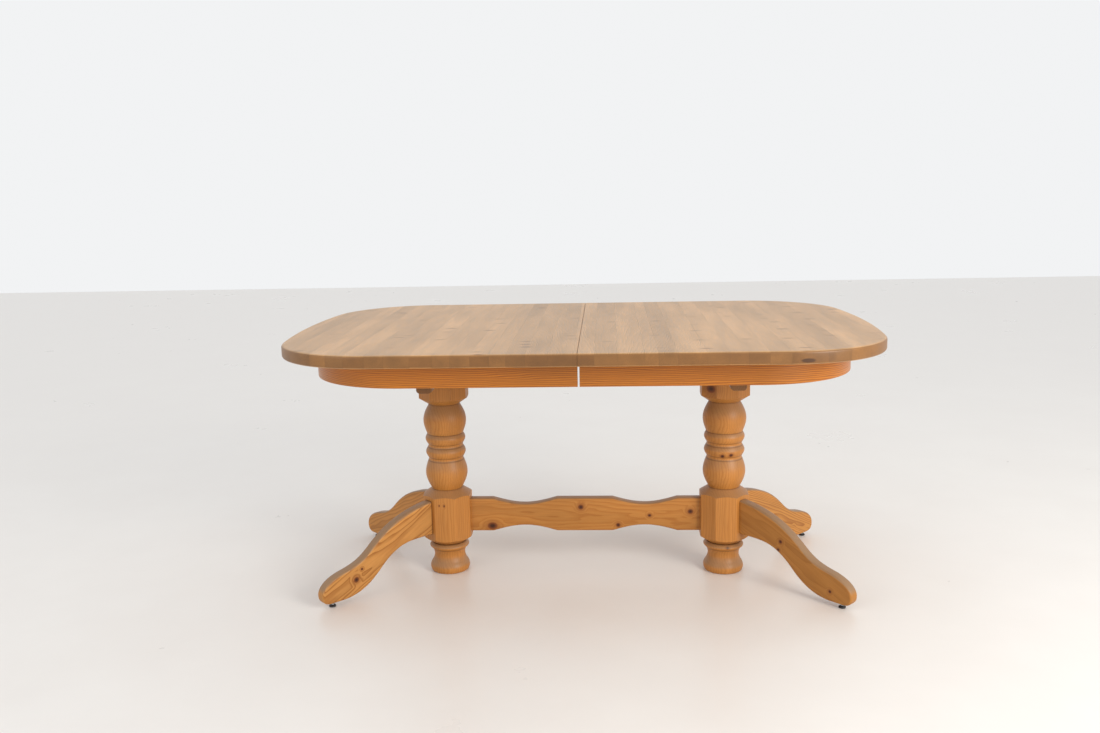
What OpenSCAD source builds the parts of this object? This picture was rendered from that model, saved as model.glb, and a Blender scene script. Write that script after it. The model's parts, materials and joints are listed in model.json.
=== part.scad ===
// Extending dining table on two turned pedestals, in millimetres.
// Origin: on the floor, under the middle of the table top.
// +X runs along the table to the right, +Y to the back, +Z up.
// Left is -1 and right is +1 along X; front is -1 and back is +1 along Y.

/* [Table top] */
// Length of the shut table top
top_length = 1650; // [1500:10:2000]
// Width of the table top
top_width = 1070; // [940:10:1300]
// Height of the table top above the floor
top_height = 760; // [700:5:920]
// Thickness of the glued pine panel
top_thick = 34; // [26:1:42]
// Radius of the rounded corners, seen from above
corner_r = 285; // [220:5:360]
// Radius of the gently bowed ends, seen from above
end_r = 2360; // [1800:20:4000]
// Gap between the two halves of the shut top
seam_gap = 0.6; // [0.4:0.1:2]

/* [Apron] */
// Height of the bent apron band
apron_height = 68; // [55:1:80]
// Thickness of the apron band
apron_thick = 22; // [16:1:28]
// Distance from the table's long edges in to the apron
apron_inset = 93; // [80:1:120]
// Distance from the table's bowed ends in to the apron
apron_end_inset = 80; // [70:1:120]
// Radius of the apron's rounded corners, seen from above
apron_corner_r = 275; // [220:5:320]
// Gap between the two apron halves of the shut table
apron_gap = 5; // [3:0.5:10]
// Side of the square glue blocks in the apron's corner
block_size = 24; // [18:1:24]
// Length of each glue block
block_length = 60; // [40:5:80]

/* [Slides] */
// How far each half of the top draws out
travel = 250; // [150:10:260]
// Distance of each guide rail from the middle line
rail_offset = 190; // [150:5:230]
// Width of a guide rail
rail_width = 42; // [36:1:50]
// Height of the guide rails and runners
rail_height = 44; // [36:1:50]
// Length of the guide rails
rail_length = 1240; // [1200:10:1300]
// Width of a runner
runner_width = 30; // [24:1:36]
// How far a runner reaches from the middle towards its own end
runner_reach = 640; // [620:5:660]
// How far a runner reaches past the middle, under the other half
runner_overlap = 320; // [310:5:400]
// Height of the hard sliding key
key_height = 12; // [10:1:16]
// How far the key stands in the rail's groove
key_depth = 9; // [6:1:12]
// How far the key is let into its runner
key_root = 7; // [5:1:10]
// Length of the sliding key on its own side of the middle
key_outer = 340; // [330:5:345]
// Length of the sliding key past the middle
key_inner = 300; // [260:5:305]
// Clearance between the sliding wooden faces
slide_clear = 0.5; // [0.3:0.1:1]
// Clearance above and below the parts that slide under the table top
top_clear = 1; // [0.6:0.1:2]
// Length of the wooden dowels across the seam, in each half
seam_dowel_half = 16; // [12:1:24]
// Radial clearance of those dowels in the half that they slide into
seam_dowel_clear = 0.3; // [0.2:0.05:0.5]
// Distance of the outer seam dowels from the long edges
seam_dowel_edge = 130; // [60:10:200]

/* [Bearers] */
// Width of the cross bearer
bearer_width = 43; // [36:1:50]
// Height of the cross bearer
bearer_height = 62; // [50:1:70]
// Radius of the bearer's rounded lower corners
bearer_round = 10; // [5:1:15]
// Length of the cross bearer
bearer_length = 640; // [600:10:760]

/* [Pedestals] */
// Distance between the two pedestals' centres
pedestal_spacing = 840; // [760:10:900]
// Width of the octagonal blocks across the flats
block_width = 141; // [130:1:150]
// Width of the octagon's front, back and side faces
block_flat = 62; // [56:1:66]
// Height of the upper octagonal block, with its turned end
upper_block = 156; // [140:1:180]
// Height above the floor of the lower block's upper end
shoulder_top = 263; // [250:1:275]
// Height above the floor of the lower block's lower end
shoulder_low = 91; // [78:1:95]
// Steepness of the blocks' turned ends, as rise over run
turned_slope = 0.67; // [0.5:0.01:0.75]
// Clearance of the pedestal above the floor
pedestal_lift = 1; // [1:0.5:5]
// Radius of the upper bulb
upper_bulb_r = 64; // [58:1:68]
// Radius of the lower bulb
lower_bulb_r = 63; // [58:1:68]
// Radius of the two rings between the bulbs
ring_r = 60; // [56:1:66]
// Radius of the hollows beside the rings
hollow_r = 54; // [46:1:56]
// Radius of the column's upper and lower neck
neck_r = 46; // [42:1:50]
// Radius of the foot bulb and the bead above it
foot_r = 60; // [54:1:62]
// Height above the floor of the bead's lower end
bead_low = 72; // [64:1:76]
// Height above the floor of the foot bulb's upper end
foot_bulb_top = 34; // [26:1:40]
// Share of the column taken by the upper bulb, against the other turnings
upper_bulb_share = 91; // [70:1:110]
// Share of the column taken by each ring
ring_share = 30; // [18:1:34]
// Share of the column taken by each hollow
hollow_share = 11; // [8:1:18]
// Share of the column taken by the lower bulb
lower_bulb_share = 88; // [70:1:110]

/* [Legs and stretcher] */
// Thickness of the leg boards
leg_thick = 32; // [26:1:38]
// How far the tip of a leg reaches from the pedestal's centre
leg_reach = 452; // [430:1:480]
// Height above the floor of the lower end of a leg's joint
leg_root_low = 130; // [118:1:136]
// Height above the floor of the upper end of a leg's joint
leg_root_high = 234; // [226:1:240]
// Height of a leg's toe above the floor
toe_low = 13; // [10:1:18]
// Thickness of the stretcher board
stretcher_thick = 30; // [26:1:36]
// Height above the floor of the stretcher's lower edge
stretcher_low = 125; // [118:1:136]
// Height of the stretcher board
stretcher_height = 103; // [90:1:104]
// Depth of the waists in the stretcher's edges
waist_depth = 18; // [10:1:25]
// Length of the straight ends before the waists
stretcher_end = 70; // [60:1:90]
// Length of each waist
wave = 195; // [120:5:210]
// Length of the tenon on each end of the stretcher
tenon_length = 30; // [20:1:35]
// Depth of the tenon's shoulders at the front and the back
tenon_shoulder = 6; // [4:1:8]

/* [Levellers] */
// Distance of a leveller from the pedestal's centre
leveller_reach = 415; // [400:1:430]
// Radius of the leveller's foot
leveller_r = 10; // [8:0.5:14]
// Height of the leveller's foot
leveller_foot = 5.5; // [4:0.5:7]
// Radius of the leveller's screw
leveller_screw_r = 3; // [2.5:0.5:4]
// Length of the threaded insert in the leg
insert_length = 20; // [15:1:25]
// Wall of the threaded insert
insert_wall = 2; // [1.5:0.5:3]
// Radial running clearance of the leveller's screw
screw_clear = 0.06; // [0.04:0.01:0.1]
// How far a leveller screws out
leveller_travel = 12; // [5:1:15]

/* [Fasteners and fits] */
// Radius of the wooden dowels
dowel_r = 5; // [4:0.5:6]
// Length of a leg dowel in each of the two pieces
dowel_half = 32; // [25:1:35]
// Distance of the leg dowels from the upper and lower end of the joint
leg_dowel_edge = 26; // [16:1:34]
// Chamfer on the free ends of the seam dowels
dowel_chamfer = 2; // [1:0.5:3]
// Radial clearance of glued and screwed fittings
fit_clear = 0.1; // [0.05:0.05:0.2]
// Radius of the stretcher bolt
bolt_r = 4; // [3:0.5:5]
// Radius of the bolt's head
bolt_head_r = 9; // [7:0.5:10]
// Height of the bolt's head
bolt_head = 5; // [3:0.5:7]
// Depth of the recess for the bolt's head
bolt_recess = 10; // [6:1:14]
// Radius of the barrel nut
nut_r = 6.5; // [6:0.5:8]
// Length of the barrel nut
nut_length = 22; // [18:1:24]
// Distance of the barrel nut from the stretcher's shoulder
nut_setback = 45; // [35:1:60]
// How far the bolt runs past the barrel nut
bolt_past_nut = 8; // [4:1:12]
// Radius of the big wood screws
screw_r = 3; // [2.5:0.5:4]
// Radius of the small wood screws
small_screw_r = 2; // [1.5:0.5:3]
// Height of a screw head
screw_head = 4; // [3:0.5:5]
// Bite of the screws in the table top
screw_bite = 20; // [14:1:22]
// Bite of the bearers' screws in the pedestals
bearer_bite = 40; // [30:1:60]
// Bite of the guide rails' screws in the rails
rail_bite = 26; // [20:1:30]

/* [Hidden] */
$fa = 3;
$fs = 0.5;

// Colours
pine = "#c98a4a";
pale_pine = "#c8af96";
apron_pine = "#b9722f";
raw_pine = "#d9b98a";
beech = "#c9a273";
steel = "#b8bcc0";
black = "#1c1c1e";

// Small overrun that keeps cuts clear of the faces they open
over = 1;
// How far an outline's corner arc stands past its bow, so that the two cross cleanly
arc_lap = 0.01;
// Gap at the end of a tenon and round a bolt's head and a leveller's screw
end_gap = 1;
screw_tip_gap = 4;

half_length = top_length / 2;

// Heights, from the top down
top_under = top_height - top_thick;
rail_top = top_under - top_clear;
rail_low = rail_top - rail_height;
rail_mid = (rail_top + rail_low) / 2;
bearer_low = rail_low - bearer_height;

// Slides
outer_y = rail_offset + rail_width / 2 + slide_clear + runner_width / 2;
inner_y = rail_offset - rail_width / 2 - slide_clear - runner_width / 2;

// Pedestals
pedestal_x = pedestal_spacing / 2;
block_half = block_width / 2;
corner_reach = norm([block_half, block_flat / 2]);
cut_half = (block_half + block_flat / 2) / sqrt(2);
upper_low = rail_low - upper_block;
column = upper_low - shoulder_top;

// Stretcher
stretcher_half = pedestal_x - block_half;
stretcher_high = stretcher_low + stretcher_height;
bolt_z = stretcher_low + stretcher_height / 2;
tenon_height = stretcher_height - 2 * waist_depth;
tenon_thick = stretcher_thick - 2 * tenon_shoulder;

// Dowels in the legs, at two heights
leg_dowel_z = [leg_root_low + leg_dowel_edge, leg_root_high - leg_dowel_edge];

// Levellers: the screw still fills its insert when it is screwed right out
insert_r = leveller_screw_r + insert_wall;
leveller_screw = toe_low - leveller_foot + insert_length + leveller_travel;

// Places along X of the screws in a runner, from the middle outwards
runner_screw_x = [40, 220, 400, 600];
// Places along X of the glue blocks on the apron's straight side
block_x = [90, 250, 410];
// Places along Y of the glue blocks on the bowed end
end_block_y = [-110, 110];
// Places along Y of the dowels in the seam
seam_dowel_y = [-1, 0, 1] * (top_width / 2 - seam_dowel_edge);
// Places along Y of the screws that hold a bearer to its pedestal
bearer_screw_y = [-36, 36];

// Lengths of the screws, with their heads
bearer_screw_length = bearer_height + bearer_bite;
rail_screw_length = bearer_height + rail_bite;
runner_low = rail_low + top_clear;
runner_screw_length = top_under - runner_low + screw_bite;
block_screw_length = block_size + screw_bite - screw_tip_gap;

// A cubic curve from a to d, pulled towards b and c, without its last point
function bezier(a, b, c, d, n = 10) = [
    for (i = [0 : n - 1])
        let (t = i / n, u = 1 - t)
            u ^ 3 * a + 3 * u ^ 2 * t * b + 3 * u * t ^ 2 * c + t ^ 3 * d
];

// Points of one turned swelling: from radius r0 at z0 to r1 at z1, with its
// middle swollen out, or hollowed in, to radius peak along half a sine wave
function swell(r0, r1, peak, z0, z1, n = 10) = [
    for (i = [0 : n - 1])
        let (t = i / n, base = r0 + (r1 - r0) * t)
            [base + (peak - (r0 + r1) / 2) * sin(180 * t), z0 + (z1 - z0) * t]
];

// Sum of the first n entries of a list
function sum(list, n) = n == 0 ? 0 : list[n - 1] + sum(list, n - 1);

// The turned column, upper bulb first: radii of the joints between turnings,
// each turning's peak radius and its share of the height
joint_r = [neck_r, hollow_r, hollow_r, hollow_r, hollow_r, hollow_r, neck_r];
peak_r = [upper_bulb_r, ring_r, hollow_r - 2, ring_r, hollow_r - 2, lower_bulb_r];
share = [upper_bulb_share, ring_share, hollow_share, ring_share, hollow_share, lower_bulb_share];
column_z = [for (i = [0 : 6]) upper_low - column * sum(share, i) / sum(share, 6)];
column_points = [
    for (i = [0 : 5])
        each swell(joint_r[i], joint_r[i + 1], peak_r[i], column_z[i], column_z[i + 1])
];

// The foot: bead, cove and foot bulb, as heights and radii from the top down
foot_joint_r = [for (step = [8, 8, 8, 3]) foot_r - step];
foot_peak_r = [for (step = [0, 13.5, 0]) foot_r - step];
foot_z = [shoulder_low, bead_low, foot_bulb_top, pedestal_lift];
foot_points = [
    for (i = [0 : 2])
        each swell(foot_joint_r[i], foot_joint_r[i + 1], foot_peak_r[i], foot_z[i], foot_z[i + 1])
];

// The outline of a leg board, as distance from the pedestal and height
toe = leg_reach;
leg_outline = concat(
    bezier([cut_half, leg_root_high], [160, leg_root_high - 10], [222, 198], [282, 144]),
    bezier([282, 144], [320, 110], [340, 104], [toe - 64, 93]),
    bezier([toe - 64, 93], [toe - 30, 84], [toe, 66], [toe, 40]),
    bezier([toe, 40], [toe, 22], [toe - 10, toe_low], [toe - 28, toe_low]),
    [[toe - 28, toe_low]],
    bezier([toe - 72, toe_low], [332, 16], [298, 34], [262, 68]),
    bezier([262, 68], [232, 98], [200, 124], [150, leg_root_low - 1]),
    bezier(
        [150, leg_root_low - 1], [125, leg_root_low + 1],
        [100, leg_root_low + 1], [cut_half, leg_root_low]
    ),
    [[cut_half, leg_root_low]]
);

// The outline of the stretcher: straight ends and middle, waists between
function waist(x) = waist_depth * sin(180 * x / wave);
wave_x = [for (i = [0 : 16]) wave * i / 16];
edge_x = [
    for (x = wave_x) x - stretcher_half + stretcher_end,
    for (x = wave_x) x + stretcher_half - stretcher_end - wave
];
edge_cut = [for (x = concat(wave_x, wave_x)) waist(x)];
last = len(edge_x) - 1;
stretcher_outline = concat(
    [[-stretcher_half, stretcher_low]],
    [for (i = [0 : last]) [edge_x[i], stretcher_low + edge_cut[i]]],
    [[stretcher_half, stretcher_low], [stretcher_half, stretcher_high]],
    [for (i = [last : -1 : 0]) [edge_x[i], stretcher_high - edge_cut[i]]],
    [[-stretcher_half, stretcher_high]]
);

// Half of an outline, from x = from to the right end, with straight sides, two
// rounded corners of radius r and a bowed end of radius bow
module half_outline(length, width, r, bow, from) {
    corner_y = width / 2 - r;
    centre_x = length / 2 - bow;
    angle = asin(corner_y / (bow - r));
    corner_x = centre_x + (bow - r + arc_lap) * cos(angle);
    union() {
        translate([from, -width / 2]) square([corner_x - from, width]);
        for (side = [-1, 1])
            translate([corner_x, side * corner_y]) circle(r);
        intersection() {
            translate([centre_x, 0]) circle(bow, $fn = 256);
            polygon([
                for (p = [[from, -1], [length, -1], [length, 1], [from, 1]])
                    [p[0], p[1] * (p[0] - centre_x) * tan(angle)]
            ]);
        }
    }
}

// Half of the apron's outline, moved inwards
module apron_outline(inset, from) {
    half_outline(
        top_length - 2 * (apron_end_inset + inset), top_width - 2 * (apron_inset + inset),
        apron_corner_r - inset, end_r - apron_end_inset - inset, from
    );
}

// Puts a child on the right side for side = 1 and mirrors it for side = -1
module on_side(side) {
    mirror([side < 0 ? 1 : 0, 0, 0]) children();
}

// Puts a child on the back for side = 1 and mirrors it for side = -1
module on_depth(side) {
    mirror([0, side < 0 ? 1 : 0, 0]) children();
}

// Turns a child, drawn along +X, to point out along a leg
module along_leg(side, depth) {
    translate([side * pedestal_x, 0, 0])
        rotate([0, 0, atan2(depth, side)]) children();
}

// A bolt or screw with its head down at z = 0, pointing up
module screw(length, shank, head, head_height) {
    union() {
        cylinder(h = head_height, r = head);
        cylinder(h = length, r = shank);
    }
}

// The hole for such a screw
module screw_hole(length, shank, head, head_height) {
    translate([0, 0, -over])
        cylinder(h = head_height + over, r = head + fit_clear);
    cylinder(h = length + over, r = shank + fit_clear);
}

// The places of the screws in the right half's glue blocks
module at_blocks() {
    for (depth = [-1, 1], x = block_x)
        translate([x, depth * (apron_inner_y - block_size / 2), 0]) children();
    for (y = end_block_y)
        translate([end_block_x - block_size / 2, y, 0]) children();
}

// The places of the screws in the runners at a distance y from the middle line
module at_runner_screws(y) {
    for (depth = [-1, 1], x = runner_screw_x)
        translate([x, depth * y, runner_low]) children();
}

// ---- Pedestals ----

// One octagonal block between two heights, with conical turned ends
module block(low, high, low_cone, high_cone) {
    rise = turned_slope * (corner_reach + over - neck_r);
    intersection() {
        translate([0, 0, low])
            linear_extrude(high - low)
                intersection() {
                    square(block_width, center = true);
                    rotate(45) square(2 * cut_half, center = true);
                }
        rotate_extrude()
            polygon([
                [0, low],
                [low_cone ? neck_r : corner_reach + over, low],
                [corner_reach + over, low_cone ? low + rise : low],
                [corner_reach + over, high_cone ? high - rise : high],
                [high_cone ? neck_r : corner_reach + over, high],
                [0, high]
            ]);
    }
}

// One turned pedestal; its stretcher side is towards the table's middle
module pedestal(side) {
    color(pine) difference() {
        translate([side * pedestal_x, 0, 0]) union() {
            block(upper_low, rail_low, true, false);
            block(shoulder_low, shoulder_top, true, true);
            rotate_extrude()
                polygon(concat(
                    [[0, upper_low + over], [neck_r - over, upper_low + over]],
                    column_points,
                    [[neck_r, shoulder_top], [neck_r - over, shoulder_top - over], [0, shoulder_top - over]]
                ));
            rotate_extrude()
                polygon(concat(
                    [[0, shoulder_low + over], [neck_r - over, shoulder_low + over]],
                    foot_points,
                    [[foot_joint_r[3], pedestal_lift], [0, pedestal_lift]]
                ));
        }
        bearer_notch(side);
        leg_dowel_set(side, fit_clear);
        stretcher_mortise(side);
        stretcher_bolt_hole(side);
        for (y = bearer_screw_y)
            translate([side * pedestal_x, y, rail_low - bearer_screw_length])
                cylinder(h = bearer_screw_length, r = screw_r + fit_clear);
    }
}

// The open notch in a pedestal's top for its bearer
module bearer_notch(side) {
    w = bearer_width + 2 * fit_clear;
    translate([side * pedestal_x - w / 2, -block_width, bearer_low])
        cube([w, 2 * block_width, bearer_height + over]);
}

// The mortise that a pedestal holds the stretcher's tenon in
module stretcher_mortise(side) {
    w = tenon_thick + 2 * fit_clear;
    h = tenon_height + 2 * fit_clear;
    on_side(side)
        translate([stretcher_half - over, -w / 2, bolt_z - h / 2])
            cube([tenon_length + over + end_gap, w, h]);
}

module pedestal_left() { pedestal(-1); }
module pedestal_right() { pedestal(1); }

// ---- Legs ----

// One S-curved leg board, set at 45 degrees
module leg(side, depth) {
    color(pine) difference() {
        along_leg(side, depth)
            rotate([90, 0, 0])
                linear_extrude(leg_thick, center = true) polygon(leg_outline);
        leg_dowel_set(side, fit_clear);
        along_leg(side, depth) {
            translate([leveller_reach, 0, toe_low - over])
                cylinder(h = insert_length + over, r = insert_r + fit_clear);
            translate([leveller_reach, 0, toe_low])
                cylinder(h = leveller_screw, r = leveller_screw_r + end_gap / 2);
        }
    }
}

module leg_front_left() { leg(-1, -1); }
module leg_back_left() { leg(-1, 1); }
module leg_front_right() { leg(1, -1); }
module leg_back_right() { leg(1, 1); }

// The dowels of the two legs on one side, made thicker by grow for their bores
module leg_dowel_set(side, grow) {
    for (depth = [-1, 1], z = leg_dowel_z)
        along_leg(side, depth)
            translate([cut_half - dowel_half - grow, 0, z])
                rotate([0, 90, 0])
                    cylinder(h = 2 * (dowel_half + grow), r = dowel_r + grow);
}

module leg_dowels() {
    color(beech) for (side = [-1, 1]) leg_dowel_set(side, 0);
}

// ---- Stretcher ----

module stretcher() {
    color(pine) difference() {
        union() {
            rotate([90, 0, 0])
                linear_extrude(stretcher_thick, center = true) polygon(stretcher_outline);
            translate([-stretcher_half - tenon_length, -tenon_thick / 2, bolt_z - tenon_height / 2])
                cube([2 * (stretcher_half + tenon_length), tenon_thick, tenon_height]);
        }
        for (side = [-1, 1]) {
            stretcher_bolt_hole(side);
            barrel_nut_hole(side);
        }
    }
}

// The bolt from a pedestal's outer face to the stretcher's barrel nut
bolt_start = pedestal_x + block_half - bolt_recess;
bolt_end = stretcher_half - nut_setback - nut_r - bolt_past_nut;

module stretcher_bolt(side) {
    on_side(side)
        translate([bolt_start, 0, bolt_z])
            rotate([0, -90, 0]) {
                cylinder(h = bolt_start - bolt_end, r = bolt_r);
                translate([0, 0, -bolt_head]) cylinder(h = bolt_head, r = bolt_head_r);
            }
}

// The bore for that bolt, with the recess for its head
module stretcher_bolt_hole(side) {
    on_side(side)
        translate([bolt_start, 0, bolt_z])
            rotate([0, -90, 0]) {
                cylinder(h = bolt_start - bolt_end + over, r = bolt_r + fit_clear);
                translate([0, 0, -bolt_recess - over])
                    cylinder(h = bolt_recess + over, r = bolt_head_r + end_gap);
            }
}

// The blind bore for a barrel nut, from the stretcher's back
module barrel_nut_hole(side) {
    translate([side * (stretcher_half - nut_setback), stretcher_thick / 2 - nut_length - fit_clear, bolt_z])
        rotate([-90, 0, 0]) cylinder(h = nut_length + 2 * over, r = nut_r + fit_clear);
}

module stretcher_bolts() {
    color(steel) for (side = [-1, 1]) stretcher_bolt(side);
}

module barrel_nuts() {
    color(steel) for (side = [-1, 1])
        difference() {
            translate([side * (stretcher_half - nut_setback), stretcher_thick / 2 - nut_length, bolt_z])
                rotate([-90, 0, 0]) cylinder(h = nut_length, r = nut_r);
            stretcher_bolt_hole(side);
        }
}

// ---- Bearers and guide rails ----

module bearer(side) {
    w = bearer_width / 2 - bearer_round;
    color(pine) difference() {
        translate([side * pedestal_x, 0, bearer_low])
            rotate([90, 0, 0])
                linear_extrude(bearer_length, center = true)
                    union() {
                        for (x = [-w, w])
                            translate([x, bearer_round]) circle(bearer_round);
                        translate([-w, 0]) square([2 * w, bearer_height]);
                        translate([-bearer_width / 2, bearer_round])
                            square([bearer_width, bearer_height - bearer_round]);
                    }
        for (y = bearer_screw_y)
            translate([side * pedestal_x, y, rail_low])
                rotate([180, 0, 0])
                    screw_hole(bearer_screw_length, screw_r, 2 * screw_r, screw_head);
        for (depth = [-1, 1])
            translate([side * pedestal_x, depth * rail_offset, bearer_low])
                screw_hole(rail_screw_length, screw_r, 2 * screw_r, screw_head);
    }
}

module bearer_left() { bearer(-1); }
module bearer_right() { bearer(1); }

module bearer_screws() {
    color(steel) for (side = [-1, 1], y = bearer_screw_y)
        translate([side * pedestal_x, y, rail_low])
            rotate([180, 0, 0]) screw(bearer_screw_length, screw_r, 2 * screw_r, screw_head);
}

module rail_screws() {
    color(steel) for (side = [-1, 1], depth = [-1, 1])
        translate([side * pedestal_x, depth * rail_offset, bearer_low])
            screw(rail_screw_length, screw_r, 2 * screw_r, screw_head);
}

// One guide rail: its outer groove guides the left half, its inner the right
module guide_rail(depth) {
    groove_low = rail_mid - key_height / 2 - slide_clear;
    groove_height = key_height + 2 * slide_clear;
    groove_length = key_outer + travel + key_inner + 2 * slide_clear;
    groove_depth = key_depth + slide_clear;
    color(raw_pine) difference() {
        translate([-rail_length / 2, depth * rail_offset - rail_width / 2, rail_low])
            cube([rail_length, rail_width, rail_height]);
        on_depth(depth) translate([0, rail_offset, groove_low]) {
            translate([-key_outer - travel - slide_clear, rail_width / 2 - groove_depth, 0])
                cube([groove_length, groove_depth + over, groove_height]);
            translate([-key_inner - slide_clear, -rail_width / 2 - over, 0])
                cube([groove_length, groove_depth + over, groove_height]);
        }
        for (side = [-1, 1])
            translate([side * pedestal_x, depth * rail_offset, bearer_low])
                cylinder(h = rail_screw_length + over, r = screw_r + fit_clear);
    }
}

module guide_rail_front() { guide_rail(-1); }
module guide_rail_back() { guide_rail(1); }

// ---- Levellers ----

// One leveller: a domed foot on a screw
leveller_chamfer = 1;
dome_run = 4;
dome_rise = 3;

module leveller(side, depth) {
    color(black) along_leg(side, depth) translate([leveller_reach, 0, 0]) {
        rotate_extrude()
            polygon(concat(
                [[0, 0], [leveller_r - leveller_chamfer, 0], [leveller_r, leveller_chamfer]],
                [
                    for (a = [0 : 15 : 75])
                        [leveller_r - dome_run * (1 - cos(a)), leveller_foot - dome_rise * (1 - sin(a))]
                ],
                [[leveller_r - dome_run, leveller_foot], [0, leveller_foot]]
            ));
        cylinder(h = leveller_foot + leveller_screw, r = leveller_screw_r);
    }
}

module leveller_front_left() { leveller(-1, -1); }
module leveller_back_left() { leveller(-1, 1); }
module leveller_front_right() { leveller(1, -1); }
module leveller_back_right() { leveller(1, 1); }

module leveller_inserts() {
    color(steel) for (side = [-1, 1], depth = [-1, 1])
        along_leg(side, depth)
            translate([leveller_reach, 0, toe_low])
                difference() {
                    cylinder(h = insert_length, r = insert_r);
                    translate([0, 0, -over])
                        cylinder(h = insert_length + 2 * over, r = leveller_screw_r + screw_clear);
                }
}

// ---- Table top ----

// Half of the top, drawn on the right; dowel_fit is the seam bores' clearance
module top_half(side, dowel_fit, runner_y) {
    start = seam_gap / 2;
    color(pale_pine) on_side(side) difference() {
        translate([0, 0, top_under])
            linear_extrude(top_thick) half_outline(top_length, top_width, corner_r, end_r, start);
        for (y = seam_dowel_y)
            translate([start - over, y, top_under + top_thick / 2])
                rotate([0, 90, 0])
                    cylinder(h = seam_dowel_half + 2 * over, r = dowel_r + dowel_fit);
        at_runner_screws(runner_y)
            cylinder(h = runner_screw_length + over, r = screw_r + fit_clear);
        at_blocks()
            translate([0, 0, top_under - over])
                cylinder(h = screw_bite + over, r = small_screw_r + fit_clear);
    }
}

module top_left() { top_half(-1, fit_clear, outer_y); }
module top_right() { top_half(1, seam_dowel_clear, inner_y); }

// The dowels that line the two halves up, fixed in the left half
module alignment_dowels() {
    color(beech) for (y = seam_dowel_y)
        translate([-seam_dowel_half, y, top_under + top_thick / 2])
            rotate([0, 90, 0]) union() {
                cylinder(h = 2 * seam_dowel_half - dowel_chamfer, r = dowel_r);
                translate([0, 0, 2 * seam_dowel_half - dowel_chamfer])
                    cylinder(h = dowel_chamfer, r1 = dowel_r, r2 = dowel_r - dowel_chamfer);
            }
}

// ---- Apron ----

apron_inner_y = top_width / 2 - apron_inset - apron_thick;
end_block_x = half_length - apron_end_inset - apron_thick;

module apron(side) {
    color(apron_pine) on_side(side)
        translate([0, 0, top_under - apron_height])
            linear_extrude(apron_height)
                difference() {
                    apron_outline(0, apron_gap / 2);
                    apron_outline(apron_thick, apron_gap / 2 - over);
                }
}

module apron_left() { apron(-1); }
module apron_right() { apron(1); }

// The glue blocks between one half of the top and its apron
module glue_blocks(side) {
    color(raw_pine) on_side(side) difference() {
        translate([0, 0, top_under - block_size]) union() {
            for (depth = [-1, 1], x = block_x) on_depth(depth)
                translate([x - block_length / 2, apron_inner_y - block_size, 0])
                    cube([block_length, block_size, block_size]);
            linear_extrude(block_size)
                intersection() {
                    apron_outline(apron_thick, apron_gap / 2);
                    for (y = end_block_y)
                        translate([end_block_x - block_size, y - block_length / 2])
                            square([2 * block_size, block_length]);
                }
        }
        at_blocks()
            translate([0, 0, top_under - block_size])
                screw_hole(block_screw_length, small_screw_r, 2 * small_screw_r, screw_head);
    }
}

module glue_blocks_left() { glue_blocks(-1); }
module glue_blocks_right() { glue_blocks(1); }

module block_screws(side) {
    color(steel) on_side(side) at_blocks()
        translate([0, 0, top_under - block_size])
            screw(block_screw_length, small_screw_r, 2 * small_screw_r, screw_head);
}

module block_screws_left() { block_screws(-1); }
module block_screws_right() { block_screws(1); }

// ---- Runners and keys ----

// One runner, drawn for the right half at the back; y is its middle and
// rail_side is -1 where the guide rail lies nearer the middle line
module runner(side, depth, y, rail_side) {
    color(raw_pine) on_side(side) on_depth(depth) difference() {
        union() {
            translate([-runner_overlap, y - runner_width / 2, runner_low])
                cube([runner_overlap + runner_reach, runner_width, rail_top - runner_low]);
            translate([seam_gap / 2, y - runner_width / 2, runner_low])
                cube([runner_reach - seam_gap / 2, runner_width, top_under - runner_low]);
        }
        slide_key(y, rail_side, fit_clear);
        for (x = runner_screw_x)
            translate([x, y, runner_low])
                screw_hole(runner_screw_length, screw_r, 2 * screw_r, screw_head);
    }
}

// The key in such a runner, made larger by grow for its groove
module slide_key(y, rail_side, grow) {
    face = y + rail_side * runner_width / 2;
    near = face - rail_side * (key_root + grow);
    far = face + rail_side * (slide_clear + key_depth + grow);
    translate([-key_inner - grow, min(near, far), rail_mid - key_height / 2 - grow])
        cube([key_inner + key_outer + 2 * grow, abs(far - near), key_height + 2 * grow]);
}

module slide_keys(side, y, rail_side) {
    color(beech) on_side(side) for (depth = [-1, 1])
        on_depth(depth) slide_key(y, rail_side, 0);
}

module runner_screws(side, y) {
    color(steel) on_side(side) at_runner_screws(y)
        screw(runner_screw_length, screw_r, 2 * screw_r, screw_head);
}

module runner_left_front() { runner(-1, -1, outer_y, -1); }
module runner_left_back() { runner(-1, 1, outer_y, -1); }
module runner_right_front() { runner(1, -1, inner_y, 1); }
module runner_right_back() { runner(1, 1, inner_y, 1); }
module slide_keys_left() { slide_keys(-1, outer_y, -1); }
module slide_keys_right() { slide_keys(1, inner_y, 1); }
module runner_screws_left() { runner_screws(-1, outer_y); }
module runner_screws_right() { runner_screws(1, inner_y); }

pedestal_left();
pedestal_right();
leg_front_left();
leg_back_left();
leg_front_right();
leg_back_right();
stretcher();
bearer_left();
bearer_right();
guide_rail_front();
guide_rail_back();
leg_dowels();
stretcher_bolts();
barrel_nuts();
bearer_screws();
rail_screws();
leveller_inserts();
leveller_front_left();
leveller_back_left();
leveller_front_right();
leveller_back_right();
top_left();
apron_left();
runner_left_front();
runner_left_back();
slide_keys_left();
glue_blocks_left();
runner_screws_left();
block_screws_left();
alignment_dowels();
top_right();
apron_right();
runner_right_front();
runner_right_back();
slide_keys_right();
glue_blocks_right();
runner_screws_right();
block_screws_right();
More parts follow.
